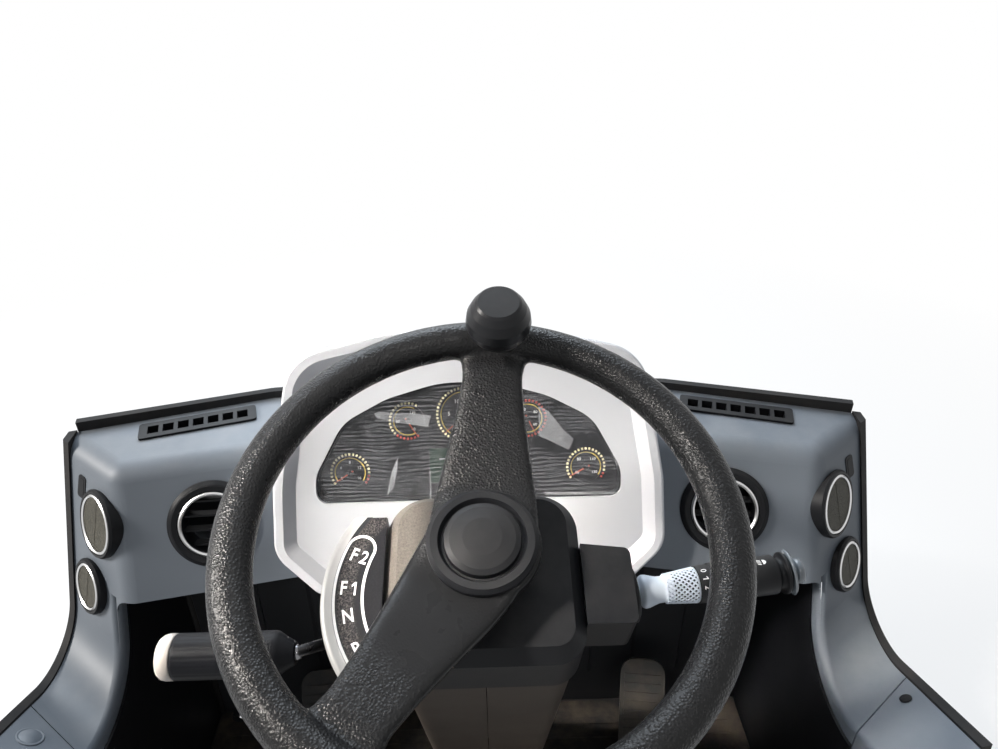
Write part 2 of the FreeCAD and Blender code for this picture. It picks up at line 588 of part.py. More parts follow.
def face_frame():
    up = V(0, sind(FACE_LEAN), cosd(FACE_LEAN))
    normal = X_AXIS.cross(up)
    return FreeCAD.Placement(V(0, FACE_Y, FACE_Z), FreeCAD.Rotation(X_AXIS, up, normal, "ZXY"))


def dash_block():
    """The dash's solid outer form, with a seat's gap, for what sits on it."""
    half = dash_upper(SEAT, 0, 5, LIP_Z - 5)
    return fuse(half, mirrored(half))


def binnacle_hood():
    outline = both_halves(HOOD)
    outer = tapered(outline, 0, -HOOD_DEPTH, 0, HOOD_TAPER, HOOD_REAR_R + 2)
    rear = edges_near(outer, lambda e: middle_of(e).z < -HOOD_DEPTH + 0.1)
    outer = outer.makeFillet(HOOD_REAR_R, rear)
    front = edges_near(outer, lambda e: middle_of(e).z > -0.1)
    outer = outer.makeFillet(4.0, front)
    recess = tapered(outline, 0.5, -BEVEL_D, BAND_W - 0.5, BAND_W + BEVEL_W, 8.0)
    back = BEVEL_D + HOOD_WALL
    slope = HOOD_TAPER / HOOD_DEPTH
    cavity = tapered(outline, -back, -HOOD_DEPTH + HOOD_WALL,
                     slope * back + HOOD_WALL, HOOD_TAPER + HOOD_WALL, HOOD_REAR_R - 4)
    window = slab(both_halves(CLUSTER), -back - 1, 0)
    place = face_frame()
    hood = at(place, outer).common(block(-FAR, FAR, -FAR, FAR, LIP_Z, FAR))
    hood = hood.cut(at(place, recess)).cut(at(place, window))
    hollow = at(place, cavity).common(block(-FAR, FAR, -FAR, FAR, LIP_Z + HOOD_WALL, FAR))
    return hood.cut(hollow).cut(dash_block())


def cluster_housing():
    outline = both_halves(CLUSTER)
    z1 = -BEVEL_D - HOOD_WALL - SEAT
    body = slab(inset(outline, -CLUSTER_RIM), z1 - CLUSTER_DEPTH, z1)
    return body.cut(slab(inset(outline, 2.0), z1 - DIAL_DROP - DIAL_T, z1 + 1))


def cluster_dial():
    outline = inset(both_halves(CLUSTER), 2.0 + SEAT)
    z0 = -BEVEL_D - HOOD_WALL - SEAT - DIAL_DROP - DIAL_T
    z1 = z0 + DIAL_T
    dial = slab(outline, z0, z1)
    for x, y, radius in GAUGES:
        spot = V(x, y, z1 - 0.5)
        ring = cylinder(radius, spot, spot + V(0, 0, GAUGE_RING_H + 0.5))
        ring = ring.cut(cylinder(radius - GAUGE_RING_W, spot - Z_AXIS, spot + V(0, 0, 5)))
        hub = cylinder(GAUGE_HUB_R, spot, spot + V(0, 0, 3.0))
        dial = dial.fuse(ring).fuse(hub)
    window = slab(rectangle(SCREEN_X0, SCREEN_X1, SCREEN_Y0, SCREEN_Y1, 3.0), z1 - 1.0, z1 + 2)
    return dial.cut(window).removeSplitter()


def cluster_lens():
    z1 = -BEVEL_D - 1.0
    return slab(inset(both_halves(CLUSTER), SEAT), z1 - LENS_T, z1)


def head_frame():
    spot = V(WHEEL_X, WHEEL_Y, WHEEL_Z)
    return FreeCAD.Placement(spot, FreeCAD.Rotation(X_AXIS, WHEEL_LEAN))


def pivot_place():
    return head_frame().multVec(V(0, 0, PIVOT_H))


def spoke(angle):
    """One spoke seen along the axis: waisted from the hub, flared into the rim."""
    rim = WHEEL_R - RIM_R
    half = [(HUB_R * 0.5, SPOKE_HUB_W / 2), (SPOKE_MID_R, SPOKE_MID_W / 2),
            (rim - 34.0, SPOKE_RIM_W / 2), (rim - 14.0, SPOKE_RIM_W / 2 + 5.0),
            (rim, SPOKE_FLARE_W / 2)]
    upper = [V(r, w, 0) for r, w in half]
    lower = [V(r, -w, 0) for r, w in half]
    edges = [Part.Arc(upper[0], upper[1], upper[2]).toShape(),
             Part.Arc(upper[2], upper[3], upper[4]).toShape(),
             Part.LineSegment(upper[4], lower[4]).toShape(),
             Part.Arc(lower[4], lower[3], lower[2]).toShape(),
             Part.Arc(lower[2], lower[1], lower[0]).toShape(),
             Part.LineSegment(lower[0], upper[0]).toShape()]
    web = Part.Face(Part.Wire(edges)).extrude(V(0, 0, 120))
    web.translate(V(0, 0, -60))
    web.rotate(V(0, 0, 0), Z_AXIS, 90 + angle)
    return web


def steering_wheel():
    rim = Part.makeTorus(WHEEL_R - RIM_R, RIM_R)
    top, bottom = HUB_H, HUB_H - HUB_T
    reach = WHEEL_R - RIM_R
    dish = turned([
        (0, top), (HUB_R + 4, top), (reach - 30, 0), (reach, 3.0),
        (reach, 3.0 - SPOKE_T), (reach - 30, -SPOKE_T), (HUB_R + 4, bottom), (0, bottom),
    ])
    webs = spoke(SPOKE_ANGLES[0]).fuse(spoke(SPOKE_ANGLES[1]))
    hub = cylinder(HUB_R, V(0, 0, bottom), V(0, 0, top))
    boss = cylinder(BOSS_R, V(0, 0, bottom - BOSS_DROP), V(0, 0, bottom))
    seat = knob_spot()
    post = cylinder(KNOB_BASE_R, V(seat.x, seat.y, -4.0), V(seat.x, seat.y, KNOB_H0 - 3.0))
    pin = cylinder(KNOB_PIN_R, V(seat.x, seat.y, 0), V(seat.x, seat.y, KNOB_H0 + 22.0))
    wheel = fuse(rim, dish.common(webs), hub, boss, post, pin)
    bore = cylinder(SHAFT_R + RUN, V(0, 0, bottom - BOSS_DROP - 1), V(0, 0, top - 6))
    return wheel.cut(bore)


def knob_spot():
    return V(-KNOB_R * sind(KNOB_ANGLE), KNOB_R * cosd(KNOB_ANGLE), 0)


def horn_cap():
    base = HUB_H + SEAT
    return turned([
        (0, base), (HORN_RING_R, base), (HORN_RING_R, base + 5), (HORN_RING_R - 3, base + 8),
        (HORN_CAP_R + 4, base + 8), (HORN_CAP_R + 1.5, base + 4), (HORN_CAP_R, base + 4),
        (HORN_CAP_R - 1, base + 8), (HORN_CAP_R - 5, base + 10),
        (HORN_CAP_R / 2, base + HORN_H - 0.8), (0, base + HORN_H),
    ])


def spinner_knob():
    low, high = KNOB_H0, KNOB_H1
    knob = turned([
        (0, low), (KNOB_RAD - 9, low), (KNOB_RAD - 6, low + 2), (KNOB_RAD - 1.5, low + 10),
        (KNOB_RAD, low + 17), (KNOB_RAD - 1, low + 25), (KNOB_RAD - 4.5, low + 33),
        (KNOB_FLAT_R + 2, high - 2), (KNOB_FLAT_R, high), (0, high),
    ])
    bore = cylinder(KNOB_PIN_R + RUN, V(0, 0, low - 1), V(0, 0, low + 22.5))
    knob = knob.cut(bore)
    knob.translate(knob_spot())
    return knob


def steering_shaft():
    top = HUB_H - HUB_T / 2
    return cylinder(SHAFT_R, V(0, 0, top - SHAFT_LEN), V(0, 0, top))


def column_tube():
    top = HEAD_TOP - HEAD_WALL - SEAT
    low = PIVOT_H + EYE_R * 0.6
    tube = cylinder(TUBE_R, V(0, 0, low), V(0, 0, top))
    flange = cylinder(TUBE_FLANGE_R, V(0, 0, top - TUBE_FLANGE_T), V(0, 0, top))
    eye = cylinder(EYE_R, V(-EYE_HALF, 0, PIVOT_H), V(EYE_HALF, 0, PIVOT_H))
    body = fuse(tube, flange, eye)
    shaft_low = HUB_H - HUB_T / 2 - SHAFT_LEN
    bore_low = shaft_low - 20
    body = body.cut(cylinder(SHAFT_R + RUN, V(0, 0, bore_low), V(0, 0, top + 1)))
    wide = cylinder(TUBE_R - TUBE_WALL, V(0, 0, shaft_low + BEARING_L), V(0, 0, top - BEARING_L))
    body = body.cut(wide)
    return body.cut(cylinder(PIN_R + RUN, V(-FAR / 9, 0, PIVOT_H), V(FAR / 9, 0, PIVOT_H)))


def column_bracket():
    """Floor bracket: two ears and the pin that the column tilts on."""
    pivot = pivot_place()
    z1 = PLATE_T + FOOT_T
    foot = slab(rectangle(pivot.x - FOOT_W / 2, pivot.x + FOOT_W / 2,
                          pivot.y - FOOT_D / 2, pivot.y + FOOT_D / 2, 10), PLATE_T, z1)
    parts = [foot]
    for sign in (-1, 1):
        x0 = pivot.x + sign * (EYE_HALF + SEAT * 2)
        x1 = x0 + sign * EAR_T
        web = block(x0, x1, pivot.y - EAR_R, pivot.y + EAR_R, z1 - 1, pivot.z)
        parts.append(web.fuse(cylinder(EAR_R, V(min(x0, x1), pivot.y, pivot.z),
                                       V(max(x0, x1), pivot.y, pivot.z))))
    reach = EYE_HALF + EAR_T + 6
    pin = cylinder(PIN_R, pivot - X_AXIS * reach, pivot + X_AXIS * reach)
    return fuse(*parts, pin)


def head_outline():
    return list(reversed(HEAD))


def column_head():
    """The shroud: crowned top, open underside, holes for the boss and the levers."""
    outline = head_outline()
    shoulder = HEAD_TOP - 14.0
    crown = tapered(outline, shoulder, HEAD_TOP, 0, HEAD_CROWN)
    skirt = slab(outline, HEAD_BOTTOM, shoulder)
    outer = fuse(crown, skirt)
    crown_in = tapered(outline, shoulder, HEAD_TOP - HEAD_WALL, HEAD_WALL, HEAD_WALL + HEAD_CROWN)
    skirt_in = slab(inset(outline, HEAD_WALL), HEAD_BOTTOM - 1, shoulder)
    head = outer.cut(fuse(crown_in, skirt_in))
    hole = cylinder(SHAFT_R + MOVE + 4, V(0, 0, HEAD_TOP - 20), V(0, 0, HEAD_TOP + 1))
    return head.cut(hole)


def column_cover(sign):
    """One half of the lower cover, split down its middle, with ribs onto the tube."""
    outline = inset(head_outline(), HEAD_WALL + SEAT)
    top, low = HEAD_BOTTOM + COVER_LAP, COVER_BOTTOM
    outer = tapered(outline, low, top, COVER_TAPER, 0)
    inner = tapered(outline, low - 0.5, top + 0.5, COVER_TAPER + COVER_WALL, COVER_WALL)
    cover = outer.cut(inner)
    for h in COVER_RIBS:
        rib = outer.common(block(-FAR, FAR, -FAR, FAR, h, h + COVER_RIB_T))
        cover = cover.fuse(rib.cut(cylinder(TUBE_R + SEAT, V(0, 0, h - 1), V(0, 0, h + 10))))
    half = block(sign * COVER_SEAM / 2, sign * FAR, -FAR, FAR, -FAR, FAR)
    return cover.common(half).removeSplitter()


def pod_disc(radius, h0, h1):
    disc = cylinder(radius, V(POD_U, POD_V, h0), V(POD_U, POD_V, h1))
    return disc.common(block(-FAR, HEAD[3][0] - SEAT, POD_V0, POD_V1, -FAR, FAR))


def shift_pod():
    outer = pod_disc(POD_R, POD_BOTTOM, POD_TOP)
    brow = edges_near(outer, lambda e: middle_of(e).z > POD_TOP - 0.1
                      and abs((middle_of(e) - V(POD_U, POD_V, POD_TOP)).Length - POD_R) < 0.1)
    outer = outer.makeFillet(5.0, brow)
    wall = POD_WALL
    inner = cylinder(POD_R - wall, V(POD_U, POD_V, POD_BOTTOM + wall), V(POD_U, POD_V, POD_TOP - 7))
    inner = inner.common(block(-FAR, HEAD[3][0] - SEAT - wall, POD_V0 + wall, POD_V1 - wall,
                               -FAR, FAR))
    recess = pod_disc(POD_R - POD_EDGE, POD_TOP - 2.3, POD_TOP + 1)
    slot = block(-FAR, POD_U - POD_R * 0.75, LEVER_SLOT[0], LEVER_SLOT[1],
                 LEVER_H - LEVER_ROD_R - MOVE, LEVER_H + LEVER_ROD_R + MOVE)
    pin = cylinder(LEVER_HUB_R / 2, V(LEVER_U, LEVER_V, POD_BOTTOM + 1),
                   V(LEVER_U, LEVER_V, POD_TOP - 5))
    return fuse(outer.cut(inner).cut(recess).cut(slot), pin)


def shift_scale():
    scale = pod_disc(POD_R - POD_EDGE - SEAT, POD_TOP - 2.0, POD_TOP - 0.4)
    return scale.common(block(-FAR, HEAD[3][0] - 2 * SEAT, POD_V0 + SEAT, POD_V1 - SEAT,
                              -FAR, FAR))


def shift_lever():
    pivot = V(LEVER_U, LEVER_V, LEVER_H)
    way = V(-cosd(LEVER_AIM), -sind(LEVER_AIM), 0)
    bend = pivot + way * ((LEVER_U - GRIP_U0) / cosd(LEVER_AIM))
    hub_half = 8.0
    hub = cylinder(LEVER_HUB_R, pivot - Z_AXIS * hub_half, pivot + Z_AXIS * hub_half)
    rod = cylinder(LEVER_ROD_R, pivot, bend)
    grip = turned([(0, 0), (9.0, 0), (GRIP_R - 2, 12.0), (GRIP_R, 16.0),
                   (GRIP_R, GRIP_U0 - GRIP_U1 - 4), (GRIP_R - 4, GRIP_U0 - GRIP_U1),
                   (0, GRIP_U0 - GRIP_U1)])
    grip = at(frame_on(bend + X_AXIS * 2, V(-1, 0, 0), Y_AXIS), grip)
    lever = fuse(hub, rod, grip)
    return lever.cut(cylinder(LEVER_HUB_R / 2 + RUN, pivot - Z_AXIS * 50, pivot + Z_AXIS * 50))


STALK_WAY = V(cosd(STALK_AIM), sind(STALK_AIM), 0)


def switch_pod():
    u0 = HEAD[0][0] + SEAT
    outline = [(u0, SWITCH_V0, 0.5), (SWITCH_U, SWITCH_V0, 6.0), (SWITCH_U, SWITCH_V1 - 5, 6.0),
               (u0, SWITCH_V1, 0.5)]
    outer = slab(outline, SWITCH_BOTTOM, SWITCH_TOP)
    inner = slab(inset(outline, POD_WALL), SWITCH_BOTTOM + POD_WALL, SWITCH_TOP - POD_WALL)
    pivot = V(STALK_U, STALK_V, STALK_H)
    hole = cylinder(STALK_HOLE_R, pivot, pivot + STALK_WAY * (SWITCH_U - STALK_U + 8))
    pin = cylinder(3.0, V(STALK_U, STALK_V, SWITCH_BOTTOM + 1), V(STALK_U, STALK_V, SWITCH_TOP - 1))
    return fuse(outer.cut(inner).cut(hole), pin)


def stalk():
    pivot = V(STALK_U, STALK_V, STALK_H)
    a, b, c = (u - STALK_U for u in (STALK_GRIP_U, STALK_BODY_U, STALK_END_U))
    neck, full = STALK_NECK_R, STALK_R
    body = turned([
        (0, 0), (neck, 0), (neck, a), (full - 3, a + 1), (full - 2, a + 5), (full - 5, a + 16),
        (full - 2, a + 30), (full - 1, b), (full, b + 1), (full, c), (full - 4, c + 1),
        (full - 4, c + 4), (full + 3, c + 5), (full + 3, c + 8), (full - 6, c + 9),
        (full - 6, c + 16), (full - 3, c + 17), (full - 3, c + 21), (0, c + 22),
    ])
    body = at(frame_on(pivot, STALK_WAY, Y_AXIS), body)
    hub = cylinder(9.0, pivot - Z_AXIS * 9, pivot + Z_AXIS * 9)
    return fuse(body, hub).cut(cylinder(3.0 + RUN, pivot - Z_AXIS * 40, pivot + Z_AXIS * 40))


def pedal_ground(heel_x, turn):
    return FreeCAD.Placement(V(heel_x, PEDAL_Y, 0), FreeCAD.Rotation(Z_AXIS, -turn))


def pedal_pad(heel_x, width, turn):
    """A ribbed treadle that hinges at its heel, in the frame of its own ground line."""
    lean = FreeCAD.Placement(V(0, 0, PEDAL_Z), FreeCAD.Rotation(X_AXIS, PEDAL_RISE))
    outline = [(-width / 2, 0, 4.0), (width / 2, 0, 4.0), (width / 2, PEDAL_L, PEDAL_R),
               (-width / 2, PEDAL_L, PEDAL_R)]
    pad = slab(outline, PEDAL_EYE_R - PEDAL_T, PEDAL_EYE_R)
    pitch = (PEDAL_L - 30.0) / PEDAL_RIBS
    for i in range(PEDAL_RIBS):
        y = 14.0 + i * pitch
        pad = pad.fuse(block(-width / 2 + 6, width / 2 - 6, y, y + pitch * 0.55,
                             PEDAL_EYE_R - 1, PEDAL_EYE_R + PEDAL_RIB))
    eye_half = width / 2 - 8
    eye = cylinder(PEDAL_EYE_R, V(-eye_half, 0, 0), V(eye_half, 0, 0))
    room = PEDAL_EYE_R + MOVE / 2
    for sign in (-1, 1):
        pad = pad.cut(cylinder(room, V(sign * eye_half, 0, 0), V(sign * width, 0, 0)))
    pedal = fuse(pad, eye)
    pedal = pedal.cut(cylinder(PEDAL_PIN_R + RUN, V(-FAR / 9, 0, 0), V(FAR / 9, 0, 0)))
    return at(pedal_ground(heel_x, turn).multiply(lean), pedal)


def pedal_foot(heel_x, width, turn):
    """The treadle's floor bracket: a plate, two ears and the heel pin."""
    ear_x = width / 2 - 8 + SEAT * 2
    plate = block(-ear_x - 10, ear_x + 10, -30, 24, PLATE_T, PLATE_T + PEDAL_FOOT_T)
    parts = [plate]
    for sign in (-1, 1):
        x0, x1 = sign * ear_x, sign * (ear_x + PEDAL_EAR_T)
        web = block(x0, x1, -PEDAL_EYE_R, PEDAL_EYE_R, PLATE_T + 1, PEDAL_Z)
        ends = sorted((x0, x1))
        parts.append(web.fuse(cylinder(PEDAL_EYE_R, V(ends[0], 0, PEDAL_Z), V(ends[1], 0, PEDAL_Z))))
    parts.append(cylinder(PEDAL_PIN_R, V(-ear_x - PEDAL_EAR_T - 3, 0, PEDAL_Z),
                          V(ear_x + PEDAL_EAR_T + 3, 0, PEDAL_Z)))
    return at(pedal_ground(heel_x, turn), fuse(*parts))


def write(name, shape):
    shape = shape.removeSplitter()
    solids = shape.Solids
    if not shape.isValid() or not solids:
        raise ValueError(f"{name} is not a valid solid")
    print(f"{name}: {len(solids)} solid(s), {shape.Volume / 1000:.1f} cm3")
    result = solids[0] if len(solids) == 1 else Part.makeCompound(solids)
    result.exportStep(os.path.join("parts", name + ".step"))


def main():
    os.makedirs("parts", exist_ok=True)
    write("floor_plate", floor_plate())
    write("floor_mat", floor_mat())
    write("dash_shell", dash_shell())
    write("kick_panel", kick_panel())
    write("footwell_lining_right", footwell_lining())
    write("footwell_lining_left", mirrored(footwell_lining()))
    write("knee_panel", knee_panel())
    write("cross_beam", cross_beam())
    write("windscreen_seal", windscreen_seal())
    pairs = {"side_trim": side_trim(), "side_seal": side_seal(),
             "defroster": at(grille_frame(), defroster()),
             "vent_front": at(front_frame(VENT_X, VENT_Z), vent_front()),
             "ring_front": at(front_frame(VENT_X, VENT_Z),
                              vent_ring(VENT_RING_R, VENT_RING_W, VENT_RISE - 3.2, 4.0))}
    dash = dash_upper(SEAT, 0, 0, LIP_Z - 60).fuse(dash_leg(SEAT, 0, 0, PLATE_T, LEG_X, TRIM_END_Y))
    for key, (x, z, radius) in WING_VENTS.items():
        place = wing_frame(x, z)
        pairs["vent_" + key] = vent_wing(place, radius, dash)
        pairs["ring_" + key] = at(place, vent_ring(radius - 5.8, WING_RING_W,
                                                   WING_VENT_RISE - 2.7, 3.5))
    for name, shape in pairs.items():
        write(name + "_right", shape)
        write(name + "_left", mirrored(shape))

    write("binnacle_hood", binnacle_hood())
    face = face_frame()
    write("cluster_housing", at(face, cluster_housing()))
    write("cluster_dial", at(face, cluster_dial()))
    write("cluster_lens", at(face, cluster_lens()))

    write("column_bracket", column_bracket())
    head = head_frame()
    on_head = {"column_tube": column_tube(), "column_head": column_head(),
               "column_cover_right": column_cover(1), "column_cover_left": column_cover(-1),
               "shift_pod": shift_pod(), "shift_scale": shift_scale(),
               "shift_lever": shift_lever(), "switch_pod": switch_pod(), "stalk": stalk(),
               "steering_shaft": steering_shaft(), "steering_wheel": steering_wheel(),
               "horn_cap": horn_cap(), "spinner_knob": spinner_knob()}
    for name, shape in on_head.items():
        write(name, at(head, shape))

    for name, sizes in PEDALS.items():
        write(name + "_pedal", pedal_pad(*sizes))
        write(name + "_foot", pedal_foot(*sizes))


main()
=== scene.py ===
import json
from math import cos, pi, radians, sin

import bpy
from mathutils import Matrix, Vector


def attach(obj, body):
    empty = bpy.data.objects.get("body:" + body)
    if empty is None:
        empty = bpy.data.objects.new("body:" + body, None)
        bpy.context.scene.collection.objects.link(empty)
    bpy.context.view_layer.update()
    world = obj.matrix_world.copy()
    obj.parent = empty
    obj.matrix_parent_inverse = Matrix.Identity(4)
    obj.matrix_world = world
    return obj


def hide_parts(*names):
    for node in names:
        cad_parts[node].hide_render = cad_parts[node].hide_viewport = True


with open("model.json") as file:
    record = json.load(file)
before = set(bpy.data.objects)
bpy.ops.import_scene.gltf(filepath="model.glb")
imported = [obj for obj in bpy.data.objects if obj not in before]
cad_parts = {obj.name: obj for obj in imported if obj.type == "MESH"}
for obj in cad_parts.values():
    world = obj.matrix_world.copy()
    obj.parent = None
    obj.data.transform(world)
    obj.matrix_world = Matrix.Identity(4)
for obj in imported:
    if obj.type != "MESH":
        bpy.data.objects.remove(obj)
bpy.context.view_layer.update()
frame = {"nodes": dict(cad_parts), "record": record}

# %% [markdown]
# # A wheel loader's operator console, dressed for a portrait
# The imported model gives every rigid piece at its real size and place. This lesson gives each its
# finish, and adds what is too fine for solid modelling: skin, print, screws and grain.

MM = 0.001
nodes = frame["nodes"]
record = frame["record"]

# %% [markdown]
# ## The places that the pieces share
# The wheel and the levers sit square to the steering column, which leans back, and the dials to
# the face of the instrument hood, which leans away. With one matrix for each of the two, a piece
# can be built flat, in millimetres, and then set in place.

# %% Column and hood frames
WHEEL_CENTRE = Vector((16, -178, 760)) * MM
COLUMN_LEAN = radians(22.6)
FACE_CENTRE = Vector((0, 119, 630)) * MM
FACE_LEAN = radians(22)

column_place = Matrix.Translation(WHEEL_CENTRE) @ Matrix.Rotation(COLUMN_LEAN, 4, "X")
face_place = Matrix.Translation(FACE_CENTRE) @ Matrix.Rotation(radians(90) - FACE_LEAN, 4, "X")
print("column axis:", (column_place.to_3x3() @ Vector((0, 0, 1)))[:])

# %% [markdown]
# ## The camera
# The picture is taken from the operator's seat, a little right of the middle, looking down over
# the wheel, and it is rolled by about half a degree. The lens is wide, 27 mm on a full frame, so
# the near rim looks large against the dash. Turns about Z, X and Z in that order aim the camera.

# %% Camera
EYE = Vector((19, -600, 1143)) * MM
LOOK_DOWN, LOOK_RIGHT, ROLL = radians(30.5), radians(1.45), radians(0.6)
LENS, SENSOR, NEAREST = 27.05, 36, 0.01


def put(name, data):
    """A new object in the scene."""
    thing = bpy.data.objects.new(name, data)
    bpy.context.scene.collection.objects.link(thing)
    return thing


camera_data = bpy.data.cameras.new("seat_view")
camera_data.lens = LENS
camera_data.sensor_width = SENSOR
camera_data.clip_start = NEAREST
camera = put("seat_view", camera_data)
aim = Matrix.Rotation(-LOOK_RIGHT, 4, "Z") @ Matrix.Rotation(radians(90) - LOOK_DOWN, 4, "X")
camera.matrix_world = Matrix.Translation(EYE) @ aim @ Matrix.Rotation(-ROLL, 4, "Z")
bpy.context.scene.camera = camera
print("camera at", EYE[:])

# %% [markdown]
# ## Shader maths that reads like sums
# A finish is a small sum: grain plus dust, times a mask. A thin wrapper round a socket lets it be
# written with plus and times signs, and every sign adds one Math node.


# %% Signals
def sign(operation, turned=False):
    """The method for one sign, which adds a Math node; turned swaps its two values."""
    def method(self, other):
        first, second = (other, self) if turned else (self, other)
        return self.maker.node("ShaderNodeMath", {"operation": operation}, {0: first, 1: second})
    return method


class Signal:
    """A value among the nodes, to be added, subtracted, multiplied or compared."""

    def __init__(self, maker, socket):
        self.maker = maker
        self.socket = socket

    __add__, __radd__ = sign("ADD"), sign("ADD", True)
    __sub__, __rsub__ = sign("SUBTRACT"), sign("SUBTRACT", True)
    __mul__, __rmul__ = sign("MULTIPLY"), sign("MULTIPLY", True)
    __gt__, power = sign("GREATER_THAN"), sign("POWER")

    def sine(self):
        return self.maker.node("ShaderNodeMath", {"operation": "SINE"}, {0: self})


print("signals ready")

# %% [markdown]
# ## One way to add a node
# All other nodes, in the materials and in the world, come from one method. It makes the node,
# changes its settings, and only then feeds its sockets, because settings can change the sockets.

# %% Nodes
MIX_FACTOR, MIX_FIRST, MIX_SECOND, MIX_COLOUR = 0, 6, 7, 2   # a Mix node's sockets for colours


class NodeMaker:
    """Adds nodes to a material's or the world's tree."""

    def __init__(self, tree):
        self.tree = tree

    def node(self, kind, settings=None, sockets=None, out=0):
        """A node with its settings, a ramp's stops among them, and its sockets; its output."""
        made = self.tree.nodes.new(kind)
        for key, value in (settings or {}).items():
            if key == "stops":
                elements = made.color_ramp.elements   # two to begin with
                for place, _ in value[2:]:
                    elements.new(place)
                for stop, (place, level) in zip(elements, sorted(value)):
                    stop.position = place
                    stop.color = (level, level, level, 1)
            else:
                setattr(made, key, value)
        for key, value in (sockets or {}).items():
            self.feed(made.inputs[key], value)
        return Signal(self, made.outputs[out])

    def feed(self, socket, value):
        """Links a signal to a socket, or writes a plain value there."""
        if isinstance(value, Signal):
            self.tree.links.new(value.socket, socket)
        elif socket.type == "RGBA":
            socket.default_value = (*value, 1)
        else:
            socket.default_value = value

    def output(self, node_name):
        return Signal(self, self.tree.nodes[node_name].outputs[0])


print("node maker ready")

# %% [markdown]
# ## The finish
# A finish adds a principled shader and short names for what most surfaces need: noise, cells, a
# ramp, a colour mix and relief. It works in the object's own coordinates, so a grain has its real
# size and nothing has to be unwrapped.


# %% Finishes
class Finish(NodeMaker):
    """A material with one principled shader. Sizes are in millimetres."""

    def __init__(self, name):
        self.material = bpy.data.materials.new(name)
        self.material.use_nodes = True
        super().__init__(self.material.node_tree)

    def set(self, **sockets):
        shader = self.tree.nodes["Principled BSDF"]
        for name, value in sockets.items():
            self.feed(shader.inputs[name.replace("_", " ")], value)

    def here(self):
        return self.node("ShaderNodeTexCoord", out="Object")

    def noise(self, size, detail=2.0, rough=0.5, where=None):
        """Soft random spots of about the given size, from 0 to 1."""
        sockets = {"Vector": where or self.here(), "Scale": 1 / (size * MM),
                   "Detail": detail, "Roughness": rough}
        return self.node("ShaderNodeTexNoise", None, sockets)

    def cells(self, size):
        """Distance from the middle of random cells of about the given size."""
        sockets = {"Vector": self.here(), "Scale": 1 / (size * MM)}
        return self.node("ShaderNodeTexVoronoi", None, sockets)

    def ramp(self, value, *stops):
        """Maps a value to another along straight lines between (place, value) stops."""
        return self.node("ShaderNodeValToRGB", {"stops": stops}, {0: value})

    def blend(self, mask, first, second):
        """Colour mix: the first colour where the mask is 0, the second where it is 1."""
        sockets = {MIX_FACTOR: mask, MIX_FIRST: first, MIX_SECOND: second}
        return self.node("ShaderNodeMix", {"data_type": "RGBA"}, sockets, MIX_COLOUR)

    def bump(self, height, depth):
        """Relief that stands the given depth proud where the height is 1."""
        return self.node("ShaderNodeBump", None, {"Distance": depth * MM, "Height": height})

    def split(self, vector):
        parts = self.node("ShaderNodeSeparateXYZ", None, {0: vector}).socket.node.outputs
        return [Signal(self, part) for part in parts]

    def reach(self, across, ahead, middle=(0, 0)):
        """Distance from a middle point, for two signals that are square to each other."""
        across, ahead = across - middle[0], ahead - middle[1]
        return (across * across + ahead * ahead).power(0.5)

    def on_column(self):
        """Across, ahead and up along the column, in millimetres, for a piece of the frame."""
        sockets = {"Vector": self.here(), "Location": WHEEL_CENTRE[:],
                   "Rotation": (COLUMN_LEAN, 0, 0), "Scale": (MM, MM, MM)}
        return self.split(self.node("ShaderNodeMapping", {"vector_type": "TEXTURE"}, sockets))


finishes = {}
print("finish maker ready")

# %% [markdown]
# ## Moulded plastics
# The dash is satin grey-blue plastic with a fine spark-eroded grain. Grain this fine is relief
# and not colour, so it goes to the bump. Slow, weak noise in the colour and the roughness keeps
# a large panel from looking dead flat, and a little pale dust lies where a face looks up.

# %% Plastics
DUST = (0.36, 0.35, 0.33)
DUST_PATCH, TONE_PATCH, GLOSS_PATCH = 55, 130, 60


def dust_mask(finish, amount):
    """Dust lies in soft patches on faces that look up."""
    upward = finish.split(finish.node("ShaderNodeNewGeometry", out="Normal"))[2]
    patches = finish.ramp(finish.noise(DUST_PATCH, 5, 0.6), (0.35, 0.0), (0.75, 1.0))
    return finish.ramp(upward, (0.55, 0.0), (1.0, 1.0)) * patches * amount


def plastic(name, colour, rough, grain, depth, dust, spread=0.12, shine=0.5):
    """Moulded plastic: size and depth of its grain, amount of dust, spread of its tone."""
    finish = Finish(name)
    dark, light = [tuple(c * level for c in colour) for level in (1 - spread, 1 + spread)]
    body = finish.blend(finish.noise(TONE_PATCH, 3), dark, light)
    finish.set(Base_Color=finish.blend(dust_mask(finish, dust), body, DUST),
               Roughness=finish.noise(GLOSS_PATCH, 3) * 0.12 + (rough - 0.06),
               Specular_IOR_Level=shine,
               Normal=finish.bump(finish.noise(grain, 3, 0.6), depth))
    return finish


BLACK_SHINE = 0.12   # a black part sees a white room, so it reflects little
BLACK, DIAL_BLACK = (0.009, 0.0095, 0.011), (0.012, 0.012, 0.014)
PLASTICS = (   # slot, colour, roughness, grain's size and depth, dust, spread of tone, shine
    ("dash_plastic", (0.138, 0.158, 0.184), 0.46, 1.3, 0.10, 0.20, 0.12, 0.35),
    ("hood_plastic", (0.595, 0.605, 0.635), 0.36, 1.6, 0.03, 0.05, 0.03, 0.5),
    ("black_plastic", BLACK, 0.42, 1.2, 0.06, 0.06, 0.12, BLACK_SHINE),
    ("cover_plastic", (0.046, 0.038, 0.032), 0.42, 1.2, 0.06, 0.10, 0.12, BLACK_SHINE),
    ("knob_gloss", BLACK, 0.33, 2.5, 0.004, 0.04, 0.12, 0.2),
    ("dial_black", DIAL_BLACK, 0.34, 2.0, 0.01, 0.0, 0.12, BLACK_SHINE),
)
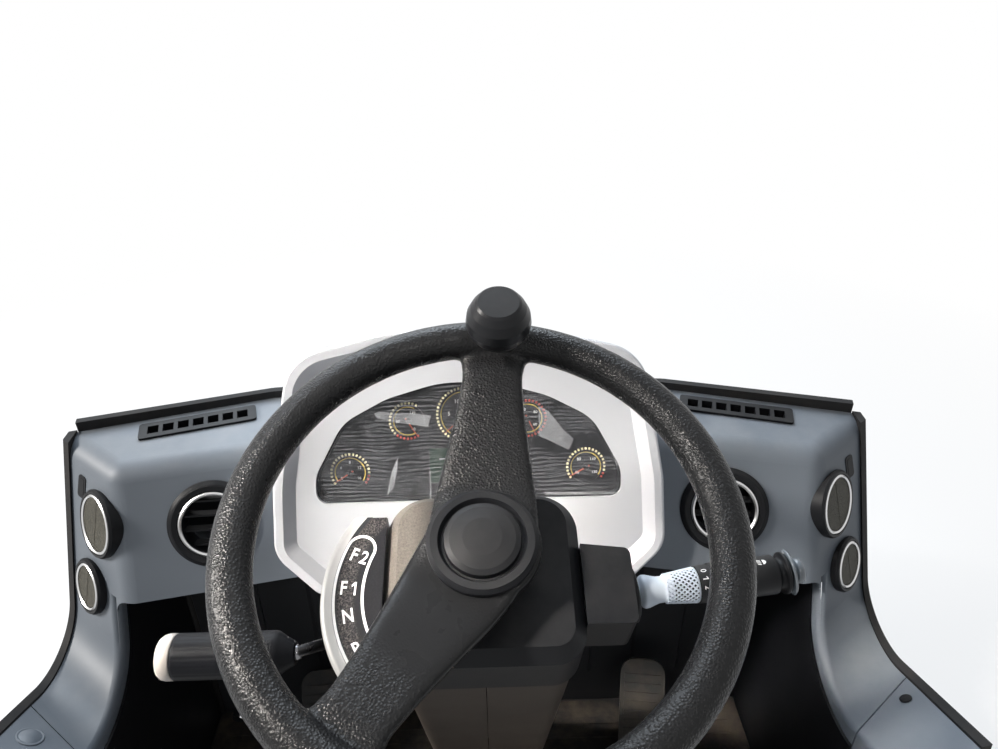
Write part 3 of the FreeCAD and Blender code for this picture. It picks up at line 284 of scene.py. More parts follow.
for slot, *values in PLASTICS:
    finishes[slot] = plastic(slot, *values)
print("plastics:", list(finishes))

# %% [markdown]
# ## Rubbers
# Rubber is duller than plastic and holds dust in its grooves. The mat and the pedal pads are
# walked on, so brown dirt shows in soft patches. The dirt is a second colour behind a noise
# mask, which stays soft at its edges as real dirt does.

# %% Rubbers
DIRT, DIRT_PATCH = (0.115, 0.092, 0.068), 48


def rubber(name, colour, rough, dirt):
    finish = Finish(name)
    patches = finish.ramp(finish.noise(DIRT_PATCH, 6, 0.65), (0.40, 0.0), (0.72, 1.0)) * dirt
    finish.set(Base_Color=finish.blend(patches, colour, DIRT), Specular_IOR_Level=BLACK_SHINE,
               Roughness=finish.noise(25, 4) * 0.2 + (rough - 0.1),
               Normal=finish.bump(finish.noise(1.5, 3, 0.7), 0.15))
    return finish


RUBBERS = (   # slot, colour, roughness, dirt
    ("seal_rubber", (0.022, 0.022, 0.023), 0.62, 0.10),
    ("mat_rubber", (0.026, 0.025, 0.025), 0.72, 0.60),
    ("pedal_rubber", (0.022, 0.022, 0.022), 0.60, 0.35),
)
for slot, *values in RUBBERS:
    finishes[slot] = rubber(slot, *values)
print("rubbers made:", len(RUBBERS))

# %% [markdown]
# ## Metals and paint
# The floor plate and the brackets are painted steel with a slight orange peel and a few chips
# down to the primer. The outlet rings are bright trim, and the pins are plain ground steel, whose
# roughness wanders a little, because that is what tells metal from chrome paper.


# %% Metals
def metal(name, colour, rough):
    finish = Finish(name)
    finish.set(Base_Color=finish.blend(finish.noise(30, 3), tuple(c * 0.9 for c in colour), colour),
               Metallic=1.0, Roughness=finish.noise(18, 4) * 0.14 + (rough - 0.07),
               Normal=finish.bump(finish.noise(2.0, 3), 0.01))
    return finish


finishes["bright_steel"] = metal("bright_steel", (0.56, 0.56, 0.57), 0.30)
finishes["bright_ring"] = metal("bright_ring", (0.66, 0.66, 0.66), 0.30)

coat = Finish("frame_paint")
chips = coat.ramp(coat.noise(9, 8, 0.7), (0.70, 0.0), (0.73, 1.0))
coat.set(Base_Color=coat.blend(chips * 0.7, (0.030, 0.031, 0.034), (0.24, 0.20, 0.17)),
         Roughness=coat.noise(30, 3) * 0.15 + 0.35, Specular_IOR_Level=BLACK_SHINE,
         Normal=coat.bump(coat.noise(3.5, 2), 0.05))
finishes["frame_paint"] = coat
print("metals and paint made")

# %% [markdown]
# ## The skin of the wheel
# The wheel is covered in black moulded skin with a pebble grain like leather. The pebbles are
# cells about 2 mm across, and each is highest at its middle, so the distance from the middle is
# turned over by a ramp. On the lower side of the spokes the grain fades, where hands polish it.

# %% Wheel skin
WHEEL_R, RIM_R = 200, 16.3
PEBBLE, PEBBLE_DEPTH, PORE = 2.1, 0.40, 0.7

skin = Finish("wheel_skin")
u, v, _ = skin.on_column()
from_middle = skin.reach(u, v) * (1 / WHEEL_R)
inner = skin.ramp(from_middle, (0.22, 1.0), (0.50, 1.0), (0.60, 0.0), (0.75, 0.0))
lower = skin.ramp(v * 0.005 + 0.5, (0.40, 1.0), (0.48, 0.0))
pebbles = skin.ramp(skin.cells(PEBBLE), (0.10, 1.0), (0.65, 0.0))
grain = (pebbles * 0.85 + skin.noise(PORE, 2) * 0.20) * (1.0 - inner * lower * 0.85)
skin.set(Base_Color=skin.blend(skin.noise(40, 3), (0.007, 0.0072, 0.0078), (0.012, 0.0122, 0.0128)),
         Roughness=0.24 + skin.noise(20, 3) * 0.08, Specular_IOR_Level=0.17,
         Normal=skin.bump(grain, PEBBLE_DEPTH))
finishes["wheel_skin"] = skin
print("wheel skin made")

# %% [markdown]
# ## The shift pod's silver band
# The pod is one moulding, but its outer band is silver and the rest is black. Its material tells
# them apart by the distance from the middle of the pod's round, measured square to the column,
# so the edge between them stays sharp without a second piece.

# %% Shift pod
POD_CENTRE, POD_TOP, BAND_FROM, BAND_DROP = (-18, -20), -64, 102.3, 9

pod = Finish("pod_silver")
u, v, h = pod.on_column()
silver = (pod.reach(u, v, POD_CENTRE) > BAND_FROM) * (h > POD_TOP - BAND_DROP)
pod_black = pod.blend(pod.noise(60, 3), (0.015, 0.015, 0.017), (0.024, 0.024, 0.026))
pod.set(Base_Color=pod.blend(silver, pod_black, (0.56, 0.548, 0.528)), Specular_IOR_Level=0.3,
        Metallic=silver * 0.15, Roughness=pod.noise(25, 3) * 0.1 + 0.36,
        Normal=pod.bump(pod.noise(1.2, 3), 0.05))
finishes["pod_silver"] = pod
print("pod finish made")

# %% [markdown]
# ## The lens over the dials
# The lens is clear, with a wrinkled film still on it. The wrinkles are relief in the bump, and
# their highlights are painted as wavy lines across: a sine of the height, bent by noise. Where a
# line runs, the lens is pale and a little less clear, as a painted highlight; elsewhere nearly all
# the light goes through.

# %% Lens
RIPPLE, RIPPLE_BEND = 4.4, 22.0
CLEAR, WRINKLE_HIGHLIGHT = 0.02, 0.145

lens = Finish("lens")
stretched = lens.node("ShaderNodeMapping", None, {"Vector": lens.here(), "Scale": (0.35, 1.0, 1.0)})
folds = lens.noise(22, 4, 0.55, stretched)
height = lens.split(lens.here())[2]
ripples = (height * (2 * pi / (RIPPLE * MM)) + folds * RIPPLE_BEND).sine()
wrinkled = lens.ramp(lens.noise(30, 3), (0.36, 0.0), (0.50, 1.0))
# Painted highlights: pale, less clear lines along the film's wrinkles.
highlight_lines = lens.ramp(ripples, (0.30, 0.0), (0.95, 1.0)) * wrinkled
lens.set(Base_Color=(0.62, 0.64, 0.68), Roughness=0.14, Alpha=CLEAR + highlight_lines * WRINKLE_HIGHLIGHT,
         Normal=lens.bump(folds, 1.0))
finishes["lens"] = lens
print("lens finish made")

# %% [markdown]
# ## Dress the frame
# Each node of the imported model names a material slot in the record, so the finishes can be dealt
# out by that list, and no node is forgotten.


# %% Give every node its finish
def dress(node, finish):
    for slot in nodes[node].material_slots:
        slot.material = finish.material


for part in record["subparts"]:
    dress(part["node"], finishes[part["material_slot"]])
print("nodes dressed:", len(record["subparts"]))

# %% [markdown]
# ## Dust and painted sunlight on the shroud's shoulder
# The left shoulder of the shroud has pale specks of dust, painted only where the low sun falls,
# so the patch is partly real dust and partly painted sunlight. The shroud shares its slot with
# other black parts, so it gets a finish of its own, and the patch is laid over the colour that
# the finish has already.

# %% Dust and painted sunlight on the shroud
shroud = plastic("shroud_black", BLACK, 0.42, 1.2, 0.06, 0.06, shine=BLACK_SHINE)
u, v, h = shroud.on_column()
leftmost = shroud.ramp(u * -0.01, (0.34, 0.0), (0.60, 1.0))
upper = shroud.ramp(h * 0.01 + 1.0, (0.10, 0.0), (0.22, 1.0))
# Painted sunlight: the pale specks lie only on the left, upper part of the shoulder, where the sun
# falls.
sunlit_dust = leftmost * upper * (shroud.noise(1.6, 4, 0.8) * 1.5 + 0.05)
base = shroud.tree.nodes["Principled BSDF"].inputs["Base Color"]
clean = Signal(shroud, base.links[0].from_socket)
shroud.set(Base_Color=shroud.blend(sunlit_dust, clean, (0.165, 0.145, 0.128)))
dress("column_head", shroud)
print("shroud dusted")

# %% [markdown]
# ## The light
# A cool, broad lamp ahead and above puts the sheen of the sky on everything that looks up, and a
# smaller lamp at the left models the round forms. A narrow warm one from the upper left is the
# low sun on the rim, and a weak one over the right shoulder opens the shade on the hub.

# %% Lamps
LAMPS = (   # name, place, target, size, watts, colour, spread in degrees
    ("sky_ahead", (-0.4, 2.2, 2.8), (0, 0.1, 0.5), (2.6, 2.0), 135, (0.82, 0.91, 1.0), 180),
    ("key_left", (-2.5, -0.15, 1.75), (0, 0, 0.5), (0.6, 0.6), 80, (1.0, 0.96, 0.91), 180),
    ("sun_left", (-1.35, -0.6, 2.2), (-0.08, -0.1, 0.66), (0.35, 0.35), 2.1, (1.0, 0.94, 0.87), 18),
    ("over_shoulder", (0.5, -1.7, 2.5), (0, 0.1, 0.58), (0.55, 0.55), 0.18, (1.0, 0.98, 0.96), 12),
)
for name, place, target, size, watts, colour, spread in LAMPS:
    data = bpy.data.lights.new(name, "AREA")
    data.shape = "RECTANGLE"
    data.size, data.size_y = size
    data.energy, data.color, data.spread = watts, colour, radians(spread)
    lamp = put(name, data)
    lamp.location = place
    lamp.rotation_euler = (Vector(target) - Vector(place)).to_track_quat("-Z", "Y").to_euler()
print("lamps:", len(LAMPS))

# %% [markdown]
# ## The floor
# A pale floor keeps the eye on the console. Its white shows only to rays from the camera, off
# metal or through glass, so it adds nothing to the lamps. Near the console the floor stays a lit
# surface in part, and so it keeps the shadow.

# %% Floor
FLOOR_HALF = 40.0
FLOOR_GREY = (0.80, 0.80, 0.80)


def seen(maker):
    """1 for the rays that show the background: from the camera, off metal or through glass."""
    rays = maker.node("ShaderNodeLightPath").socket.node.outputs
    total = Signal(maker, rays["Is Camera Ray"])
    for name in ("Is Glossy Ray", "Is Transmission Ray"):
        total = maker.node("ShaderNodeMath", {"operation": "ADD", "use_clamp": True},
                           {0: total, 1: Signal(maker, rays[name])})
    return total


floor_mesh = bpy.data.meshes.new("studio_floor")
ends = ((-1, -1), (1, -1), (1, 1), (-1, 1))
floor_mesh.from_pydata([(x * FLOOR_HALF, y * FLOOR_HALF, 0) for x, y in ends], [], [(0, 1, 2, 3)])
ground = Finish("studio_floor")
ground.set(Base_Color=FLOOR_GREY, Roughness=0.9)
east, north, _ = ground.split(ground.here())
far = ground.ramp(ground.reach(east, north) * 0.1, (0.07, 0.62), (0.25, 1.0))
glow = ground.node("ShaderNodeEmission", None, {"Color": (1.0, 1.0, 1.0), "Strength": 1.0})
mixed = ground.node("ShaderNodeMixShader", None,
                    {0: seen(ground) * far, 1: ground.output("Principled BSDF"), 2: glow})
ground.feed(ground.tree.nodes["Material Output"].inputs["Surface"], mixed)
floor_mesh.materials.append(ground.material)
studio_floor = put("studio_floor", floor_mesh)
print("floor laid")

# %% [markdown]
# ## The room
# The same rays see a white backdrop. All others get a faint, slightly cool light from all round,
# which fills the shade between the pedals without a lamp down there.

# %% World
WORLD_LIGHT = 0.17

world = bpy.data.worlds.new("studio")
world.use_nodes = True
bpy.context.scene.world = world
room = NodeMaker(world.node_tree)
fill = world.node_tree.nodes["Background"]
room.feed(fill.inputs["Color"], (0.90, 0.95, 1.0))
room.feed(fill.inputs["Strength"], WORLD_LIGHT)
backdrop = room.node("ShaderNodeBackground", None, {"Color": (1, 1, 1)})
choice = room.node("ShaderNodeMixShader", None,
                   {0: seen(room), 1: room.output("Background"), 2: backdrop})
room.feed(world.node_tree.nodes["World Output"].inputs["Surface"], choice)
bpy.context.scene.view_settings.view_transform = "Standard"
print("world light:", WORLD_LIGHT)

# %% [markdown]
# ## Turned pieces, set in place
# A turned piece is a profile of radii and heights, spun round an axis. Every piece is made in
# millimetres in a flat frame, then placed. It rides on a body and moves with that body's joint.


# %% Pieces
def add_piece(name, part, place, body, slot, finish=None, smooth=True):
    """A piece from (points, faces) in millimetres, set in place and riding on its body."""
    points, faces = part
    mesh = bpy.data.meshes.new(name)
    mesh.from_pydata([place @ (Vector(point) * MM) for point in points], [], faces)
    mesh.validate()
    if place.determinant() < 0:
        mesh.flip_normals()
    for polygon in mesh.polygons:
        polygon.use_smooth = smooth
    thing = put(name, mesh)
    mesh.materials.append((finish or finishes[slot]).material)
    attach(thing, body)
    return thing


def spin(profile, steps=48, ripple=None):
    """A profile of (radius, height) pairs turned round Z; ripple(turn, height) adds to it."""
    verts, faces, rings = [], [], []
    for radius, height in profile:
        if radius < 1e-6:
            rings.append([len(verts)])
            verts.append((0, 0, height))
            continue
        rings.append(list(range(len(verts), len(verts) + steps)))
        for i in range(steps):
            turn = 2 * pi * i / steps
            r = radius + (ripple(turn, height) if ripple else 0)
            verts.append((r * cos(turn), r * sin(turn), height))
    for low, high in zip(rings, rings[1:]):
        for i in range(steps):
            j = (i + 1) % steps
            corners = (low[i % len(low)], low[j % len(low)], high[j % len(high)],
                       high[i % len(high)])
            faces.append(tuple(dict.fromkeys(corners)))
    return verts, faces


def gather(parts):
    """Joins several (points, faces) lists into one."""
    verts, faces = [], []
    for points, rings in parts:
        start = len(verts)
        verts += list(points)
        faces += [tuple(start + i for i in ring) for ring in rings]
    return verts, faces


print("piece maker ready")

# %% [markdown]
# ## The wheel's rim and spokes
# The rim is a round ring. The two spokes are dished: they drop from the rim to the sunken hub,
# narrow in the middle and widen at both ends. Each is a closed shape through measured widths.

# %% Spokes and rim
RIM_MID = WHEEL_R - RIM_R
HUB_R, HUB_H, HUB_T = 46, -22, 15
SPOKE_ANGLES, SPOKE_T, SPOKE_WAYS, SPOKE_STEPS = (-4.4, 146.0), 15, 20, 26
SPOKE_FROM, SPOKE_TO, DISH_FROM = 20, 190, RIM_MID - 30
SPOKE_WIDTHS = ((20, 44), (50, 40), (85, 34), (118, 29), (148, 26), (166, 29), (178, 38), (190, 52))
SIDE_ROUND, FACE_ROUND = 0.35, 0.6   # below 1, the section swells from an ellipse to a slab
RIM_WAYS, RIM_SECTION = 160, 32


def between(stops, x):
    """The value at x on the broken line through (x, value) stops."""
    for (x0, y0), (x1, y1) in zip(stops, stops[1:]):
        if x <= x1:
            part = max(0.0, (x - x0) / (x1 - x0))
            return y0 + (y1 - y0) * part
    return stops[-1][1]


def spoke(angle):
    """A closed dished web, pillowed a little towards its edges."""
    turn = radians(90 + angle)
    verts, rings = [], []
    for i in range(SPOKE_STEPS + 1):
        r = SPOKE_FROM + (SPOKE_TO - SPOKE_FROM) * i / SPOKE_STEPS
        drop = HUB_H * min(1.0, max(0.0, (DISH_FROM - r) / (DISH_FROM - HUB_R - 4)))
        half = between(SPOKE_WIDTHS, r)
        rings.append([len(verts) + j for j in range(SPOKE_WAYS)])
        for j in range(SPOKE_WAYS):
            c, s = cos(2 * pi * j / SPOKE_WAYS), sin(2 * pi * j / SPOKE_WAYS)
            w = half * (abs(c) ** SIDE_ROUND) * (1 if c > 0 else -1)
            z = drop - SPOKE_T / 2 + SPOKE_T / 2 * (abs(s) ** FACE_ROUND) * (1 if s > 0 else -1)
            verts.append((r * cos(turn) - w * sin(turn), r * sin(turn) + w * cos(turn), z))
    faces = [tuple(rings[0])]
    for low, high in zip(rings, rings[1:]):
        for j in range(SPOKE_WAYS):
            k = (j + 1) % SPOKE_WAYS
            faces.append((low[j], high[j], high[k], low[k]))
    return verts, faces + [tuple(reversed(rings[-1]))]


def rim_ring():
    verts, faces = [], []
    for i in range(RIM_WAYS):
        a = 2 * pi * i / RIM_WAYS
        for j in range(RIM_SECTION):
            b = 2 * pi * j / RIM_SECTION
            r = RIM_MID + RIM_R * cos(b)
            verts.append((r * cos(a), r * sin(a), RIM_R * sin(b)))
            p, q = i * RIM_SECTION, (i + 1) % RIM_WAYS * RIM_SECTION
            k = (j + 1) % RIM_SECTION
            faces.append((p + j, q + j, q + k, p + k))
    return verts, faces


print("rim and spokes ready")

# %% [markdown]
# ## The steering wheel
# The wheel's skin flows from rim to spoke to hub without an edge. So the closed shapes overlap,
# and a voxel remesh melts them into one surface, which is smoothed.

# %% Steering wheel
BOSS_R, BOSS_DROP = 27, 17
VOXEL, SMOOTHINGS = 2.2, 8


def melt(thing):
    """Melts overlapping closed shapes into one smooth skin."""
    remesh = thing.modifiers.new("melt", "REMESH")
    remesh.mode = "VOXEL"
    remesh.voxel_size = VOXEL * MM
    remesh.use_smooth_shade = True
    smooth = thing.modifiers.new("smooth", "SMOOTH")
    smooth.factor = 0.5
    smooth.iterations = SMOOTHINGS
    depsgraph = bpy.context.evaluated_depsgraph_get()
    mesh = bpy.data.meshes.new_from_object(thing.evaluated_get(depsgraph))
    rough = thing.data
    thing.modifiers.clear()
    thing.data = mesh
    bpy.data.meshes.remove(rough)
    return len(mesh.polygons)


HUB_LOW = HUB_H - HUB_T
hub_disc = spin([(0, HUB_LOW), (HUB_R - 3, HUB_LOW), (HUB_R, HUB_LOW + 3), (HUB_R, HUB_H),
                 (0, HUB_H)], 64)
boss = spin([(0, HUB_LOW - BOSS_DROP), (BOSS_R, HUB_LOW - BOSS_DROP), (BOSS_R, HUB_LOW + 2),
             (0, HUB_LOW + 2)], 48)
wheel = add_piece("wheel_covered", gather([rim_ring(), hub_disc, boss, *map(spoke, SPOKE_ANGLES)]),
                  column_place, "wheel", "wheel_skin")
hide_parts("steering_wheel")
print("wheel faces:", melt(wheel))

# %% [markdown]
# ## Flat print
# Marks are plates a few tenths of a millimetre thick, raised from outlines. They stay sharp at
# any distance, where a painted image would blur.


# %% Plates and bands
def moved(part, matrix):
    """The same points and faces, moved by a matrix in millimetres."""
    points, faces = part
    return [tuple(matrix @ Vector(point)) for point in points], faces


def shifted(part, x, y, z=0.0, turn=0.0):
    return moved(part, Matrix.Translation((x, y, z)) @ Matrix.Rotation(turn, 4, "Z"))


def sides(count):
    """The faces between a low and a high outline."""
    return [(i, (i + 1) % count, count + (i + 1) % count, count + i) for i in range(count)]


def prism(outline, z0, z1):
    """A flat plate from an anticlockwise outline of (x, y) points."""
    count = len(outline)
    verts = [(x, y, z) for z in (z0, z1) for x, y in outline]
    return verts, [tuple(range(count, 2 * count)), tuple(reversed(range(count))), *sides(count)]


def band(r0, r1, start, end, z0, z1, steps=24):
    """A flat ring, or part of one between two angles."""
    turns = [start + (end - start) * i / steps for i in range(steps + 1)]
    outline = [(r1 * cos(t), r1 * sin(t)) for t in turns]
    outline += [(r0 * cos(t), r0 * sin(t)) for t in reversed(turns)]
    count = len(outline)
    faces = []
    for a in range(steps):
        b, c, d = a + 1, count - 2 - a, count - 1 - a
        faces += [(count + a, count + b, count + c, count + d), (d, c, b, a)]
    return [(x, y, z) for z in (z0, z1) for x, y in outline], faces + sides(count)


def rounded_outline(half_x, half_y, radius, steps=6):
    """A rectangle with round corners."""
    points = []
    for k, (sx, sy) in enumerate(((1, 1), (-1, 1), (-1, -1), (1, -1))):
        for i in range(steps + 1):
            t = pi / 2 * (k + i / steps)
            points.append((sx * (half_x - radius) + radius * cos(t),
                           sy * (half_y - radius) + radius * sin(t)))
    return points


def around(x, y, radius, angle):
    """The point at an angle in degrees on a circle."""
    return x + radius * cos(radians(angle)), y + radius * sin(radians(angle))


print("plates ready")

# %% [markdown]
# ## Letters and paints
# Letters come from Blender's own font as meshes, so they are handled like the plates. Each colour
# of print is a plain paint, a little uneven, because fresh flat colour looks like a sticker.


# %% Letters and their paints
def letters(words, size, depth=0.1, weight=0.0):
    """Raised print from the built-in font, centred on the origin; weight thickens its strokes."""
    curve = bpy.data.curves.new("print", "FONT")
    curve.body, curve.size, curve.extrude, curve.offset = words, size, depth / 2, weight
    curve.align_x, curve.align_y = "CENTER", "CENTER"
    curve.resolution_u = 3
    thing = put("print", curve)
    mesh = bpy.data.meshes.new_from_object(
        thing.evaluated_get(bpy.context.evaluated_depsgraph_get()))
    part = [tuple(v.co) for v in mesh.vertices], [tuple(p.vertices) for p in mesh.polygons]
    bpy.data.objects.remove(thing)
    bpy.data.meshes.remove(mesh)
    bpy.data.curves.remove(curve)
    return part


def paint(name, colour, rough=0.45):
    """Printed paint, worn a little darker in spots."""
    finish = Finish(name)
    finish.set(Base_Color=finish.blend(finish.noise(3, 3), tuple(c * 0.88 for c in colour), colour),
               Roughness=finish.noise(5, 2) * 0.1 + (rough - 0.05))
    return finish


cream = paint("print_cream", (0.92, 0.84, 0.50))
yellow = paint("print_yellow", (0.62, 0.46, 0.07))
red = paint("print_red", (0.46, 0.045, 0.03))
white = paint("print_white", (0.86, 0.85, 0.84))
grey = paint("print_grey", (0.42, 0.43, 0.46))
pointer = paint("pointer_red", (0.42, 0.07, 0.035))
display = paint("display_glass", (0.028, 0.050, 0.038), 0.20)
print("letters and paints ready")

# %% [markdown]
# ## The dials
# Each dial has a ring of small cream blocks outside a thin yellow arc, with red blocks at the
# end of its range, a few white figures and a pointer. One table holds what differs between the
# five, and a loop makes them, so a dial can be changed in one place.

# %% Dials
DIAL_TOP = -26.3
GAUGES = (   # across, up the face, radius, first angle, last angle, red from, pointer, figures
    (-144, -42, 21, 214, -34, -4, 212, ("0", "4", "8", "12", "16")),
    (-72, 20, 20, 62, 302, 228, 302, ("120", "80", "40")),
    (-4, 26, 31, 232, -52, -24, 222, ("0", "5", "10", "15", "20", "25")),
    (72, 20, 20, 118, -122, 96, -64, ("100", "80", "60", "40")),
    (142, -42, 21, 214, -34, -12, 208, ("50", "80", "110", "130")),
)
BLOCK_OUT, BLOCK_PITCH, BLOCK_W, BLOCK_L = 1.7, 4.3, 2.5, 2.9
ARC_IN, ARC_OUT, ARC_T, NEEDLE_UP = 3.4, 2.3, 0.3, 3.1

block = prism(rounded_outline(BLOCK_L / 2, BLOCK_W / 2, 0.7, 2), DIAL_TOP, DIAL_TOP + 0.5)
cap = spin([(0, 0), (3.2, 0), (3.2, 1.0), (2.4, 1.6), (0, 1.8)], 24)
blocks, reds, arcs, figures, pointers, caps = [], [], [], [], [], []
for x, y, radius, first, last, red_from, needle, numbers in GAUGES:
    reach = radius + BLOCK_OUT
    count = int(radians(abs(last - first)) * reach / BLOCK_PITCH)
    for i in range(count + 1):
        angle = first + (last - first) * i / count
        late = (angle - red_from) * (last - first) > 0
        spot = around(x, y, reach, angle)
        (reds if late else blocks).append(shifted(block, *spot, 0, radians(angle)))
    start, end = sorted((radians(first), radians(last)))
    arc = band(radius - ARC_IN, radius - ARC_OUT, start, end, DIAL_TOP, DIAL_TOP + ARC_T, 40)
    arcs.append(shifted(arc, x, y))
    for i, figure in enumerate(numbers):
        spot = around(x, y, radius * 0.60, first + (last - first) * i / (len(numbers) - 1))
        figures.append(shifted(letters(figure, radius * 0.17 + 1.4), *spot, DIAL_TOP + 0.1))
    blade = prism([(-5, -0.9), (radius + 1.5, -0.35), (radius + 1.5, 0.35), (-5, 0.9)], 0, 0.6)
    pointers.append(shifted(blade, x, y, DIAL_TOP + NEEDLE_UP, radians(needle)))
    caps.append(shifted(cap, x, y, DIAL_TOP + 3.0))
for name, parts, finish in (("dial_blocks", blocks, cream), ("dial_red_blocks", reds, red),
                            ("dial_arcs", arcs, yellow), ("dial_figures", figures, white),
                            ("dial_pointers", pointers, pointer), ("dial_caps", caps, None)):
    made = add_piece(name, gather(parts), face_place, "console", "dial_black", finish, False)
    print(name, len(made.data.polygons))

# %% [markdown]
# ## The display and the painted reflections on the lens
# Between the dials sits a small dark display with two rows of marks. The bright reflections on
# the lens are painted: a few pale, half-clear sheets just off the lens, because a change in the
# lens's own finish would have no such straight edges.

# %% Display and painted reflections
SCREEN_X, SCREEN_Y, SCREEN_HALF_W, SCREEN_HALF_H = 2, -36, 49.6, 21.6
PANE_LOW, PANE_TOP, LENS_TOP = -27.2, -26.9, -13.0
PATCHES = (
    ((-110, 33), (-107, 27), (-83, 21), (-47, 15), (-43, 29), (-103, 35)),
    ((84, 37), (84, 1), (120, -17), (126, -4), (111, 11), (96, 31)),
    ((-99, -68), (-91, -59), (-86, -39), (-84, -21), (-91, -35), (-96, -52)),
    ((-48, -75), (-46, -75), (-45.4, -38), (-47.5, -38.6)),
    ((154.5, 14.5), (178, -38), (180, -38), (156.6, 13.2)),
    ((90, -68), (91, -72), (181, -74), (181, -71)),
)

pane = prism(rounded_outline(SCREEN_HALF_W, SCREEN_HALF_H, 3), PANE_LOW, PANE_TOP)
dash = prism(rounded_outline(6, 0.6, 0.5, 2), 0, 0.2)
rows = [shifted(dash, -30 + 14 * i, -28 - 9 * (i % 2), PANE_TOP) for i in range(5)]
add_piece("display_pane", shifted(pane, SCREEN_X, SCREEN_Y), face_place, "console", "dial_black",
          display, False)
add_piece("display_rows", gather(rows), face_place, "console", "dial_black", grey, False)

# Painted reflections: pale, half-clear sheets where the lens shows bright glare.
glare_sheet = Finish("lens_glare_sheets")
glare_sheet.set(Base_Color=(0.80, 0.82, 0.86), Roughness=0.22,
         Alpha=glare_sheet.ramp(glare_sheet.noise(26, 4), (0.30, 0.08), (0.70, 0.22)),
         Normal=glare_sheet.bump(glare_sheet.noise(9, 3), 0.4))
sheets = [prism(patch, LENS_TOP + 0.05, LENS_TOP + 0.12) for patch in PATCHES]
add_piece("lens_glare_sheets", gather(sheets), face_place, "console", "lens", glare_sheet, False)
print("display and film made:", len(sheets), "sheets")

# %% [markdown]
# ## The scale beside the shift lever
# The scale is a sunk black strip with specks of pale dust, painted only in its outer half, where
# the low sun falls: partly real dust, partly painted sunlight. The mask follows the distance from
# the middle of the pod, in a finish of its own.

# %% Scale: dust and painted sunlight
scale = plastic("scale_black", DIAL_BLACK, 0.40, 1.0, 0.03, 0.0, shine=BLACK_SHINE)
u, v, _ = scale.on_column()
# Painted sunlight: the dust shows only in the outer half, where the sun falls.
sunlit_part = scale.ramp(scale.reach(u, v, POD_CENTRE) * 0.01, (0.84, 0.05), (0.88, 1.0))
specks = scale.ramp(scale.noise(1.3, 4, 0.8), (0.46, 0.0), (0.62, 1.0)) * sunlit_part
scale.set(Base_Color=scale.blend(specks * 0.45, DIAL_BLACK, (0.24, 0.215, 0.20)))
dress("shift_scale", scale)
print("scale dusted")

# %% [markdown]
# ## The print on the scale
# A white line runs round the strip like a loop. The letters in it are two forward gears, neutral
# and reverse. They are set round the middle of the pod, and each is turned to stand on its radius.

# %% Shift scale print
SCALE_TOP, LINE_TOP = POD_TOP - 0.4, POD_TOP + 0.15
LOOP_OUT, LOOP_IN, LINE_W = 100.9, 78.4, 2.2
LOOP_START, LOOP_END = radians(156.0), radians(218.0)
LETTER_SIZE, LETTER_PITCH, LETTER_WIDTH = 15.5, 8.8, 0.80
SIGNS = (("F2", 160.2, 88.6), ("F1", 177.8, 89.4), ("N", 192.2, 90.2), ("R", 209.4, 90.2))
ONE = prism([(-0.2, -5.4), (1.6, -5.4), (1.6, 5.4), (0.1, 5.4), (-3.0, 3.1), (-3.0, 1.3),
             (-0.2, 3.0)], -0.15, 0.15)   # the font's own 1 has a foot


def line_arc(radius, start, end, steps):
    return band(radius - LINE_W / 2, radius + LINE_W / 2, start, end, SCALE_TOP, LINE_TOP, steps)


half = (LOOP_OUT - LOOP_IN) / 2
mid = LOOP_IN + half
turned_end = shifted(line_arc(half, LOOP_START - pi, LOOP_START, 24),
                     mid * cos(LOOP_START), mid * sin(LOOP_START))
long_arcs = [line_arc(radius, LOOP_START, LOOP_END, 48) for radius in (LOOP_OUT, LOOP_IN)]
add_piece("scale_loop", shifted(gather([*long_arcs, turned_end]), *POD_CENTRE), column_place,
          "column", "dial_black", white, False)
marks = []
for words, angle, reach in SIGNS:
    signs = [ONE if sign == "1" else letters(sign, LETTER_SIZE, 0.3, 0.25) for sign in words]
    for i, sign in enumerate(signs):
        mark = moved(sign, Matrix.Diagonal((LETTER_WIDTH, 1.0, 1.0, 1.0)))
        mark = shifted(mark, LETTER_PITCH * (i - (len(signs) - 1) / 2), 0)
        x, y = around(*POD_CENTRE, reach, angle)
        marks.append(shifted(mark, x, y, SCALE_TOP + 0.2, radians(angle - 180)))
add_piece("scale_letters", gather(marks), column_place, "column", "dial_black", white, False)
print("scale printed:", len(marks), "letters")

# %% [markdown]
# ## The shift lever
# The lever is a thin steel rod with a fat black sleeve. The sleeve has shallow grooves along it,
# a cone where the rod enters and a pale domed cap at its end. All three are turned shapes, so
# they are spun from profiles, and the grooves are a ripple in the radius.

# %% Shift lever
LEVER_PIVOT, LEVER_AIM, LEVER_BEND = Vector((-98.0, -39.7, -98.0)), radians(16), 55.0
GRIP_R, GRIP_LEN, FLUTES, FLUTE_DEPTH = 18.0, 109.0, 16, 0.35


def facing(normal, hint):
    """A turn whose Z is the normal and whose X is as near the hint as it can be."""
    across = (hint - normal * normal.dot(hint)).normalized()
    return Matrix((across, normal.cross(across), normal)).transposed().to_4x4()


def axis_place(origin, way):
    """A frame on the column whose Z runs along a direction."""
    turn = facing(Vector(way).normalized(), Vector((0, 0, 1)))
    return column_place @ Matrix.Translation(Vector(origin) * MM) @ turn


def barrel(half):
    """The round foot of a lever, across its rod."""
    return moved(spin([(0, -half), (9, -half), (9, half), (0, half)], 32),
                 Matrix.Rotation(pi / 2, 4, "Y"))


def fluting(turn, height):
    """Shallow grooves, only along the straight part of the sleeve."""
    inside = 18 < height < GRIP_LEN - 16
    return -FLUTE_DEPTH * max(0.0, cos(FLUTES * turn)) ** 6 if inside else 0


